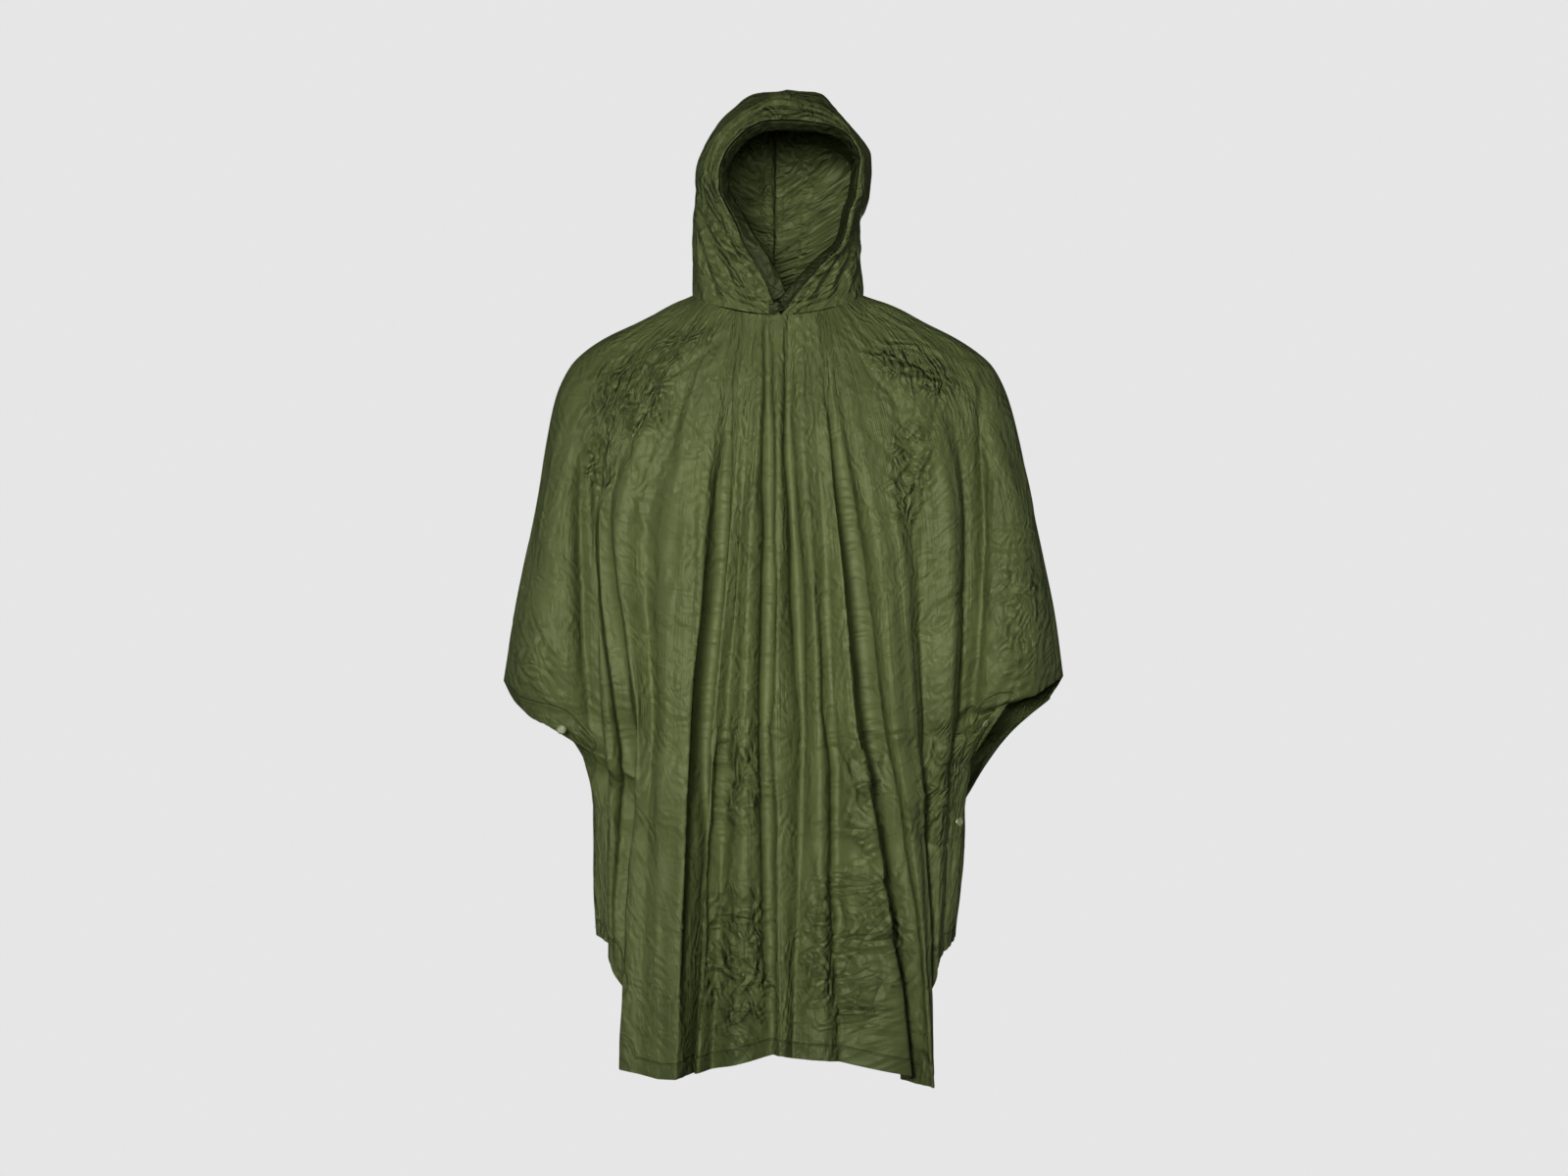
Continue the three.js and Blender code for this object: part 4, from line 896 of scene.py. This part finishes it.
# %% Creases of the hood, as the camera sees them: points (x, z), half width, depth
HOOD_CREASES = [
    # Left cheek: a fan from the temple to the throat and the neck seam.
    ([(-108, 138), (-86, 100), (-66, 68), (-42, 36), (-22, 4)], 5.5, -7),
    ([(-106, 128), (-84, 84), (-60, 42), (-40, 12), (-30, -8)], 5, 5),
    ([(-106, 118), (-88, 70), (-68, 28), (-52, -6)], 4.5, -5),
    ([(-108, 108), (-94, 60), (-78, 18), (-66, -10)], 4.5, 4),
    ([(-108, 92), (-98, 48), (-88, 14), (-80, -8)], 4, -4),
    ([(-109, 76), (-103, 40), (-96, 6)], 4, 3),
    ([(-92, 150), (-84, 126), (-72, 104), (-62, 86)], 4, 3),
    ([(-98, 168), (-90, 142), (-84, 122)], 4, -4),
    ([(-84, 168), (-86, 144), (-78, 122)], 3, 2.5),
    # Right cheek: five narrow ridges and a deep trough from the jaw to the neck seam.
    ([(100, 94), (92, 60), (80, 28), (72, 4)], 4.5, -7),
    ([(96, 84), (84, 56), (66, 24), (56, -8)], 3.5, 4.5),
    ([(92, 80), (76, 52), (56, 22), (44, -6)], 3.5, -4),
    ([(88, 74), (68, 48), (46, 20), (32, -6)], 3.5, 4),
    ([(90, 68), (64, 42), (40, 16), (22, -6)], 3, -3.5),
    ([(102, 72), (94, 40), (84, 8)], 3.5, 4),
    ([(103, 60), (98, 30), (92, 4)], 3.5, -3.5),
    ([(112, 150), (104, 120), (96, 98)], 4, -3.5),
    ([(108, 164), (102, 140), (98, 118)], 3, 3),
    ([(100, 118), (104, 100), (100, 86)], 3, -3),
]

HOOD_BACK_ZONES = [
    (5, 110, 80, 100, 0, 120, 0.8, 1.6, 24, 2.8, 1.7),
    (10, 185, 50, 26, 0, 12, 0.0, 0.4, 40, 3.4, 1.6),
    (20, 148, 40, 10, 0, 6, -0.15, 0.2, 40, 3.2, 1.4),
]
HOOD_BROW_ZONES = [
    (10, 230, 70, 16, 0, 30, 0.1, 0.5, 34, 3.0, 1.1),
    (-88, 160, 16, 50, 0, 14, 1.3, 0.4, 40, 3.0, 1.2),
    (100, 150, 12, 50, 0, 12, 1.8, 0.4, 36, 3.0, 1.1),
    (-88, 60, 20, 60, 0, 12, 2.0, 0.3, 40, 3.0, 0.9),
    (80, 50, 24, 50, 0, 12, 1.0, 0.3, 36, 3.0, 0.9),
]
HOOD_BACK_PRESSED = scattered(HOOD_BACK_ZONES, 21)
HOOD_BROW_PRESSED = scattered(HOOD_BROW_ZONES, 22)


# Where the hood's front ends and its rear begins, as shares of the way from the face to the nape.
REAR_FROM, REAR_TO = 0.42, 0.5
# The folds along the brim: distance apart and height in mm, and phase.
BRIM_WAVES = [(19, 2.6, 1.2), (11, 1.4, 0)]
# A point inside the hood, in mm.
HOOD_INSIDE = [0, 20, 110]


def hood_relief(side, u, v, x, z, rear):
    """Folds that run along the brim, creases of the packing, and how crumpled the vinyl is."""
    from_seam = v[-1:] - v
    brim = smooth(0.42, 0.62, v / v[-1:])
    place = u + noise(v / 60, u * 0, 230 + side) * 3 * smooth(0, 90, from_seam)
    ridges = sum(high * np.sin(place / apart * 2 * math.pi + phase) for apart, high, phase in BRIM_WAVES)
    ridges = ridges * brim * smooth(6, 16, u) * (1 - smooth(42, 70, u))
    beside_face = (1 - smooth(40, 120, u)) * (1 - brim)
    crumple = 0.3 + 0.5 * patch(x, z, 10, 236, 80, 16) + 0.3 * beside_face + 0.35 * rear
    slack = noise(u / 40, v / 70, 205 + side) * 1.6 + noise(u / 13, v / 60, 203 + side) * 0.7
    rough = crushed(u, v, 22, 220 + side) * 1.2 * crumple
    return ridges, slack * (1 - 0.75 * rear) + rough * (1 - 0.5 * rear), crumple


def hood_half(name, side):
    """One half of the hood with its relief, and its grid of points."""
    n = 150
    ts = np.linspace(0, 1, n)
    ds = np.concatenate([np.linspace(0, 0.3, int(n * 0.6)), np.linspace(0.3, 1, int(n * 0.9))[1:]])
    grid = hood_grid(side, ts, ds)
    normal = grid_normals(grid, side)
    if ((grid - HOOD_INSIDE) * normal).sum() < 0:
        normal = -normal
    u, v = arc(grid, 1), arc(grid, 0)
    x, z = seen(grid)
    rear = smooth(REAR_FROM, REAR_TO, ds)[None, :]
    ridges, height, crumple = hood_relief(side, u, v, x, z, rear)
    height = height + crease_relief(x, z, HOOD_CREASES) * (1 - rear)
    height = height + crease_relief(x, z, HOOD_BACK_PRESSED, sharp=True) * rear
    height = height + crease_relief(x, z, HOOD_BROW_PRESSED, sharp=True) * (1 - rear)
    fade = smooth(0, 8, v) * smooth(0, 0.03, 1 - ds)[None, :] * smooth(-2, 6, u)
    height = (ridges + height * smooth(0, 8, v[-1:] - v)) * fade
    # On the crown seam both halves move along the same direction, so that they still meet.
    normal[-1, :, 0] = 0
    grid = grid + normal * height[..., None]
    cut = np.stack([u, v], axis=-1)
    return sheet_mesh(name, [(grid, cut, side > 0, PAST_WELD, crumple)]), grid


hood_left, hood_left_grid = hood_half("vinyl_hood_left", -1)
hood_right, _ = hood_half("vinyl_hood_right", 1)

# %% [markdown]
# ## Crown seam
# Inside the hood the two halves end in a narrow upright flange where they are welded. It shows as a
# thin dark line down the middle of the back.

# %% Flange of the crown seam
FLANGE = 6
FLANGE_GAP = 0.3
FLANGE_ROWS = 5


def crown_flange(name):
    """The flange hangs inwards from the seam and sways a little to both sides."""
    line = hood_left_grid[-1]
    far = lengths_along(line)
    stops = np.arange(4, far[-1] - 8, 2.0)
    line = points_along(line, far, stops)
    inward = np.array([line[0, 0], 20, 100]) - line
    inward[:, 0] = 0
    inward /= np.linalg.norm(inward, axis=1, keepdims=True)
    sway = waves(stops, stops * 0, [(14, 1, 1.6), (5, 1, 0.5)], 401)
    lean = np.stack([sway, 0 * sway, 0 * sway], axis=-1)
    grid = np.stack([
        line + inward * (FLANGE_GAP + FLANGE * w) + lean * w for w in np.linspace(0, 1, FLANGE_ROWS)
    ], axis=1)
    cut = np.stack(np.meshgrid(stops, np.linspace(0, FLANGE, FLANGE_ROWS), indexing="ij"), axis=-1)
    return sheet_mesh(name, [(grid, cut, False, PAST_WELD, 0.5)])


seam_flange = crown_flange("crown_seam_flange")

# %% [markdown]
# ## Casing
# A strip folded double and welded round the face opening. It turns in from the rim, nearly flat at
# the left of the throat and edge-on along the brim, and its right end lies over its left end.

# %% Casing round the face
CASING_WIDTH = 20
CASING_ROWS = 150
CASING_COLUMNS = 10
# The first and last row of the casing on the left and right rim.
CASING_STARTS, CASING_ENDS = 0.07, 0.02
# How far in front of the rim the right end lies where it crosses over the left one.
CASING_LIFT = 5.6
# The right end runs on across the left one, through these points.
CASING_TAIL = np.array([[-3.0, -93, -24], [-9.0, -93, -27], [-15.0, -93, -27]])
FACE_MIDDLE = np.array([4, -90, 110])
# How far back the casing leans on its way in, from the left end over the brim to the right end.
LEAN = [
    (-1, 0.12), (-0.72, 0.2), (-0.55, 0.9), (-0.3, 1.5), (0, 1.3),
    (0.3, 1.9), (0.62, 1.9), (0.8, 0.9), (1, 0),
]


def unit(vectors):
    return vectors / np.linalg.norm(vectors, axis=1, keepdims=True)


def casing(name):
    """A closed strip that turns in from the rim of the face opening."""
    left = np.linspace(CASING_STARTS, 1, CASING_ROWS)
    right = np.linspace(1, CASING_ENDS, CASING_ROWS)[1:]
    rims = [hood_grid(-1, left, [0.0])[:, 0], hood_grid(1, right, [0.0])[:, 0]]
    edge = np.concatenate([*rims, CASING_TAIL])
    # Places run from -1 at the left end over 0 at the brim to 1 at the right end.
    place = np.concatenate([left - 1, 1 - right, np.ones(len(CASING_TAIL))])
    along = unit(np.gradient(edge, axis=0))
    into = FACE_MIDDLE - edge
    into[:, 1] = 0
    into = unit(into - along * (into * along).sum(1, keepdims=True))
    into[:, 1] += curve([p for p, _ in LEAN], [w for _, w in LEAN])(place)
    into = unit(into)
    back = np.cross(along, into)
    back *= np.where(back[:, 1:2] < 0, -1, 1)
    start = edge + into * 0.4
    start[:, 1] -= CASING_LIFT * smooth(0.7, 0.95, place)
    across = np.linspace(0, 1, CASING_COLUMNS)
    puff = np.sin(math.pi * across) ** 0.5 * 0.8
    run = lengths_along(edge)
    ripple = waves(run, run * 0, [(8, 1, 0.9), (22, 1, 0.8)], 301)
    narrowing = 1 - 0.35 * smooth(0.62, 0.95, place)
    wide = CASING_WIDTH * narrowing * (1 + noise(run / 30, run * 0, 303) * 0.06)
    face_line = start[:, None] + into[:, None] * (across[None, :] * wide[:, None])[..., None]
    bulge = puff[None, :] + ripple[:, None] * np.sin(math.pi * across)[None, :]
    front_face = face_line - back[:, None] * bulge[..., None]
    rear_face = face_line + back[:, None] * (puff * 0.6 + 0.2)[None, :, None]
    ring = np.concatenate([front_face, rear_face[:, ::-1][:, 1:]], axis=1)
    cut = np.stack(np.meshgrid(run, arc(ring, 1)[CASING_ROWS], indexing="ij"), axis=-1)
    far = np.concatenate([across, across[::-1][1:]]) * CASING_WIDTH
    return sheet_mesh(name, [(ring, cut, True, np.abs(far - 2) + WELD_AT, 0.2)])


casing_band = casing("vinyl_casing")

# %% [markdown]
# ## Snaps
# Moulded plastic caps of 12 mm. Each is turned from a disc: a domed top with a rim and a small dish.

# %% Snap caps
SNAP_NODES = ["snap_sleeve_left", "snap_sleeve_right", "snap_underarm_left", "snap_underarm_right"]
SNAP_RADIUS = 6
# The top from the outside in: how much narrower than the disc, and how high, in mm.
SNAP_PROFILE = [(0.0, 0.5), (-0.25, 0.9), (-0.9, 1.5), (-2.6, 2.1), (-3.4, 2.15), (-3.8, 1.75), (-5.6, 1.7)]


def snap_cap(node):
    """A cap on the same place and axis as its solid, whose widest rim is at its foot."""
    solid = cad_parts[node]
    points = np.array([v.co for v in solid.data.vertices]) * 1000
    centre = points.mean(0)
    out = np.linalg.eigh(np.cov((points - centre).T))[1][:, 0]
    rim = points[np.linalg.norm(np.cross(points - centre, out), axis=1) > SNAP_RADIUS - 0.2]
    if (rim.mean(0) - centre) @ out > 0:
        out = -out
    base = centre + out * ((points - centre) @ out).min()
    bpy.ops.mesh.primitive_circle_add(vertices=40, radius=SNAP_RADIUS / 1000, fill_type="NGON")
    cap = bpy.context.object
    cap.name = node + "_cap"
    work = bmesh.new()
    work.from_mesh(cap.data)
    face = work.faces[:][0]
    radius = SNAP_RADIUS
    for shrink, high in SNAP_PROFILE:
        face = bmesh.ops.extrude_discrete_faces(work, faces=[face])["faces"][0]
        scale = (SNAP_RADIUS + shrink) / radius
        radius = SNAP_RADIUS + shrink
        for vert in face.verts:
            vert.co.x *= scale
            vert.co.y *= scale
            vert.co.z = high / 1000
    bmesh.ops.remove_doubles(work, verts=work.verts, dist=1e-6)
    bmesh.ops.recalc_face_normals(work, faces=work.faces)
    work.transform(Vector((0, 0, 1)).rotation_difference(Vector(out)).to_matrix().to_4x4())
    for vert in work.verts:
        vert.co += Vector(base / 1000)
    work.to_mesh(cap.data)
    work.free()
    cap.location = (0, 0, 0)
    cap.data.shade_smooth()
    return cap


snaps = {node: snap_cap(node) for node in SNAP_NODES}
print("snap caps:", [s.name for s in snaps.values()])

# %% [markdown]
# ## Materials
# The cloth is plasticised PVC sheet, calendered between rollers: a satin skin with soft, broad
# highlights, embossed all over with the fine creases of its packing. Welds are pressed flat and
# look a little darker. The casing is the same vinyl, coloured far darker as painted shade.

# %% Colours and helpers that add nodes
def linear(hex_colour):
    """sRGB hex to a linear colour with alpha."""
    parts = [int(hex_colour[i:i + 2], 16) / 255 for i in (1, 3, 5)]
    return (*[c / 12.92 if c <= 0.04045 else ((c + 0.055) / 1.055) ** 2.4 for c in parts], 1.0)


def add(tree, kind, settings=None, inputs=None):
    """Adds a node, sets its properties and inputs, and links inputs that are sockets."""
    node = tree.nodes.new(kind)
    for key, value in (settings or {}).items():
        setattr(node, key, value)
    for key, value in (inputs or {}).items():
        if isinstance(value, bpy.types.NodeSocket):
            tree.links.new(value, node.inputs[key])
        else:
            node.inputs[key].default_value = value
    return node


def calc(tree, operation, a, b=0.0, c=0.0, clamp=False):
    """One sum with values or sockets."""
    settings = {"operation": operation, "use_clamp": clamp}
    return add(tree, "ShaderNodeMath", settings, {0: a, 1: b, 2: c}).outputs[0]


def ramp(tree, value, start, end, low, high, kind="SMOOTHSTEP"):
    """Runs from low to high while the value runs from start to end, and stays level beyond."""
    return add(tree, "ShaderNodeMapRange", {"interpolation_type": kind}, {
        "Value": value, "From Min": start, "From Max": end, "To Min": low, "To Max": high,
    }).outputs[0]


def cloudy(tree, place, scale, detail):
    """Smooth noise over a place."""
    inputs = {"Vector": place, "Scale": scale, "Detail": detail}
    return add(tree, "ShaderNodeTexNoise", None, inputs).outputs["Fac"]


def cloudy_by(tree, seed, place, scale, detail):
    """The same, but a different noise for each seed."""
    inputs = {"Vector": place, "W": seed, "Scale": scale, "Detail": detail}
    return add(tree, "ShaderNodeTexNoise", {"noise_dimensions": "4D"}, inputs).outputs["Fac"]


def empty_material(name):
    material = bpy.data.materials.new(name)
    material.use_nodes = True
    material.node_tree.nodes.clear()
    return material, material.node_tree


# %% Creases in the surface
# Directions of the packing creases: angle in radians, distance apart in mm, slope and seed.
CREASINGS = [(0.35, 15, 0.30, 1.0), (1.25, 11, 0.26, 2.0), (2.05, 18, 0.30, 3.0), (2.75, 8, 0.22, 4.0)]
# How strong they are on smooth cloth, and what is added where it is crumpled.
CREASE_LEAST = 0.42
CREASE_CRUMPLED = 1.35
# Heights of the bump in metres.
DRAW_DEPTH = -0.0024
GRAIN_HEIGHT = 0.00022
WELD_DEPTH = -0.0011


def creasing(tree, uv, angle, spacing, slope, seed):
    """Straight creases in one direction of the cut, some mm apart, bent and broken by noise: their height,
    and the thin line along each that is darkened as painted shade.
    """
    along = (math.cos(angle) * 1000 / spacing, math.sin(angle) * 1000 / spacing, 0.0)
    dot = add(tree, "ShaderNodeVectorMath", {"operation": "DOT_PRODUCT"}, {0: uv, 1: along})
    sway = cloudy_by(tree, seed, uv, 340.0 / spacing, 1.0)
    wave = calc(tree, "PINGPONG", calc(tree, "MULTIPLY_ADD", sway, 3.2, dot.outputs["Value"]), 0.5)
    part = cloudy_by(tree, seed + 7.0, uv, 560.0 / spacing, 0.0)
    mask = ramp(tree, part, 0.4, 0.58, 0.0, 1.0)
    line = ramp(tree, wave, 0.0, 0.9 / spacing, 1.0, 0.0)
    height = calc(tree, "MULTIPLY", calc(tree, "MULTIPLY", wave, slope * spacing / 1000), mask)
    return height, calc(tree, "MULTIPLY", line, mask)


def fine_draws(tree, uv, crumple):
    """Fine straight draws along the fall, in patches, and none where the cloth is crumpled."""
    stretch = add(tree, "ShaderNodeMapping", None, {"Vector": uv, "Scale": (230.0, 7.0, 1.0)})
    draws = cloudy(tree, stretch.outputs[0], 1.0, 2.0)
    ridge = calc(tree, "ABSOLUTE", calc(tree, "SUBTRACT", draws, 0.5))
    zones = ramp(tree, cloudy(tree, uv, 9.0, 1.0), 0.42, 0.6, 0.25, 1.0)
    ridge = calc(tree, "MULTIPLY", ridge, zones)
    return calc(tree, "MULTIPLY", ridge, calc(tree, "SUBTRACT", 1.0, crumple, clamp=True))


# %% The three materials
def vinyl(name, shade, dark, rough):
    """Calendered soft vinyl: two close greens, satin, packing creases with painted shade along their sharp
    lines, and a weld line.
    """
    material, tree = empty_material(name)
    uv = add(tree, "ShaderNodeUVMap", {"uv_map": "cut"}).outputs[0]
    edge = add(tree, "ShaderNodeAttribute", {"attribute_name": "edge_mm"}).outputs["Fac"]
    crumple = add(tree, "ShaderNodeAttribute", {"attribute_name": "crumple"}).outputs["Fac"]
    creased, painted_crease_shade = 0.0, 0.0
    for row in CREASINGS:
        high, line = creasing(tree, uv, *row)
        creased = calc(tree, "ADD", high, creased)
        painted_crease_shade = calc(tree, "MAXIMUM", line, painted_crease_shade)
    amount = calc(tree, "MULTIPLY_ADD", crumple, CREASE_CRUMPLED, CREASE_LEAST)
    height = calc(tree, "MULTIPLY", creased, amount)
    height = calc(tree, "MULTIPLY_ADD", fine_draws(tree, uv, crumple), DRAW_DEPTH, height)
    grain = cloudy(tree, uv, 420.0, 2.0)
    height = calc(tree, "MULTIPLY_ADD", grain, GRAIN_HEIGHT, height)
    # The weld beside a free edge is pressed into the sheet.
    from_weld = calc(tree, "ABSOLUTE", calc(tree, "SUBTRACT", edge, float(WELD_AT)))
    weld = ramp(tree, from_weld, 0.4, 2.0, 1.0, 0.0)
    height = calc(tree, "MULTIPLY_ADD", weld, WELD_DEPTH, height)
    bump = add(tree, "ShaderNodeBump", None, {"Height": height, "Strength": 1.0, "Distance": 1.0})
    # Darker colour from a faint cloudiness, a double layer at the hem, and painted shade in dark lines
    # where creases are sharp.
    tone = ramp(tree, cloudy(tree, uv, 14.0, 4.0), 0.3, 0.7, 0.0, 0.3, "LINEAR")
    band = ramp(tree, edge, 17.5, 19.5, 0.22, 0.0)
    # Painted shade: the sharp crease lines are darkened, more where the cloth is crumpled.
    painted_crease_shade = calc(tree, "MULTIPLY", painted_crease_shade, calc(tree, "MULTIPLY", crumple, 0.9))
    darker = calc(tree, "ADD", tone, band, clamp=True)
    darker = calc(tree, "MULTIPLY_ADD", weld, 0.35, darker, clamp=True)
    darker = calc(tree, "ADD", darker, painted_crease_shade, clamp=True)
    shades = {0: darker, 6: linear(shade), 7: linear(dark)}
    colour = add(tree, "ShaderNodeMix", {"data_type": "RGBA"}, shades)
    gloss = ramp(tree, grain, 0.2, 0.8, rough - 0.05, rough + 0.07, "LINEAR")
    shader = add(tree, "ShaderNodeBsdfPrincipled", None, {
        "Base Color": colour.outputs[2], "Roughness": gloss, "IOR": 1.5, "Specular IOR Level": 0.5,
        "Specular Tint": linear("#d6deae"), "Normal": bump.outputs[0],
    })
    add(tree, "ShaderNodeOutputMaterial", None, {"Surface": shader.outputs[0]})
    return material


def moulded(name, shade, rough):
    """Injection-moulded plastic: glossy, with the faint unevenness of a small part."""
    material, tree = empty_material(name)
    place = add(tree, "ShaderNodeTexCoord").outputs["Object"]
    cloud = cloudy(tree, place, 900.0, 2.0)
    gloss = ramp(tree, cloud, 0.0, 1.0, rough - 0.06, rough + 0.08, "LINEAR")
    bump = add(tree, "ShaderNodeBump", None, {"Height": cloud, "Strength": 0.15, "Distance": 0.0002})
    shader = add(tree, "ShaderNodeBsdfPrincipled", None, {
        "Base Color": linear(shade), "Roughness": gloss, "IOR": 1.5, "Normal": bump.outputs[0],
    })
    add(tree, "ShaderNodeOutputMaterial", None, {"Surface": shader.outputs[0]})
    return material


VINYL = vinyl("calendered_olive_vinyl", "#555e36", "#32391f", 0.54)
# Painted shade: the casing is the same olive vinyl, coloured far darker for the shade it lies in round the
# face opening.
VINYL_CASING_PAINTED_SHADE = vinyl("olive_vinyl_casing_painted_shade", "#262d16", "#191e0c", 0.58)
SNAP = moulded("moulded_olive_snap_plastic", "#7c8660", 0.14)
for piece in (front_sheet, back_sheet, hood_left, hood_right, seam_flange):
    piece.data.materials.append(VINYL)
casing_band.data.materials.append(VINYL_CASING_PAINTED_SHADE)
for cap in snaps.values():
    cap.data.materials.append(SNAP)
print("materials:", [m.name for m in (VINYL, VINYL_CASING_PAINTED_SHADE, SNAP)])

# %% [markdown]
# ## Studio
# A pale floor far below the hem and pale surroundings, which the camera sees bright but which give
# little light. The light comes from narrow soft boxes: three near the camera, so that the fronts of
# the folds shine and the troughs stay dark, one on each side and a stronger one behind.

# %% Floor, surroundings and lights
PALE = linear("#e6e6e6")
FLOOR_HEIGHT = -1.45
# How bright the floor and the surroundings are for everything but the camera.
FLOOR_GLOW = 0.03
WORLD_GLOW = 0.035


def pale_glow(tree, kind, glow):
    """A pale shader that is at full strength only for the camera."""
    ray = add(tree, "ShaderNodeLightPath").outputs["Is Camera Ray"]
    strength = ramp(tree, ray, 0.0, 1.0, glow, 1.0, "LINEAR")
    return add(tree, kind, None, {"Color": PALE, "Strength": strength}).outputs[0]


bpy.ops.mesh.primitive_plane_add(size=60, location=(0, 0, FLOOR_HEIGHT))
floor = bpy.context.object
floor.name = "studio_floor"
floor_material, floor_tree = empty_material("pale_studio_floor")
floor_glow = pale_glow(floor_tree, "ShaderNodeEmission", FLOOR_GLOW)
add(floor_tree, "ShaderNodeOutputMaterial", None, {"Surface": floor_glow})
floor.data.materials.append(floor_material)

world = bpy.data.worlds.new("pale_studio")
bpy.context.scene.world = world
world.use_nodes = True
world.node_tree.nodes.clear()
sky = pale_glow(world.node_tree, "ShaderNodeBackground", WORLD_GLOW)
add(world.node_tree, "ShaderNodeOutputWorld", None, {"Surface": sky})
bpy.context.scene.view_settings.view_transform = "Standard"


def softbox(name, place, target, wide, tall, watts, spread):
    """A rectangular light that faces its target and sends its light within an angle in degrees."""
    light = bpy.data.lights.new(name, "AREA")
    light.shape = "RECTANGLE"
    light.size = wide
    light.size_y = tall
    light.energy = watts
    light.spread = math.radians(spread)
    obj = bpy.data.objects.new(name, light)
    bpy.context.collection.objects.link(obj)
    obj.location = place
    obj.rotation_euler = (Vector(target) - Vector(place)).to_track_quat("-Z", "Y").to_euler()


SOFTBOXES = [
    ("key_softbox", (-0.75, -4.3, 0.45), (0, 0, -0.1), 0.7, 0.7, 2.75, 26),
    ("low_softbox", (-0.7, -4.3, -0.2), (0, 0, -0.85), 0.7, 0.7, 2.5, 26),
    ("front_softbox", (0.1, -4.6, 0.1), (0, 0, -0.05), 0.8, 0.8, 1.75, 30),
    ("left_softbox", (-3.0, 0.3, -0.2), (0, 0, -0.4), 0.8, 1.8, 7, 180),
    ("right_softbox", (3.0, 0.3, -0.2), (0, 0, -0.4), 0.8, 1.8, 7, 180),
    ("back_softbox", (0, 4.2, -1.1), (0, 0, -0.3), 1.2, 0.6, 260, 180),
]
for row in SOFTBOXES:
    softbox(*row)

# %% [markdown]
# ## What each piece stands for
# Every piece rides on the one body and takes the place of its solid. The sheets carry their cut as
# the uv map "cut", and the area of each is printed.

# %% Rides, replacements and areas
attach(seam_flange, "root")
for piece, node, slot in [
    (front_sheet, "front_panel", "olive_vinyl"), (back_sheet, "back_panel", "olive_vinyl"),
    (hood_left, "hood_left", "olive_vinyl"), (hood_right, "hood_right", "olive_vinyl"),
    (casing_band, "face_casing", "olive_vinyl_casing"),
    *[(cap, node, "olive_snap_plastic") for node, cap in snaps.items()],
]:
    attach(piece, "root")
    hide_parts(node)


for piece in (front_sheet, back_sheet, hood_left, hood_right, casing_band):
    print(piece.name, "area", round(sum(p.area for p in piece.data.polygons), 3), "m2")
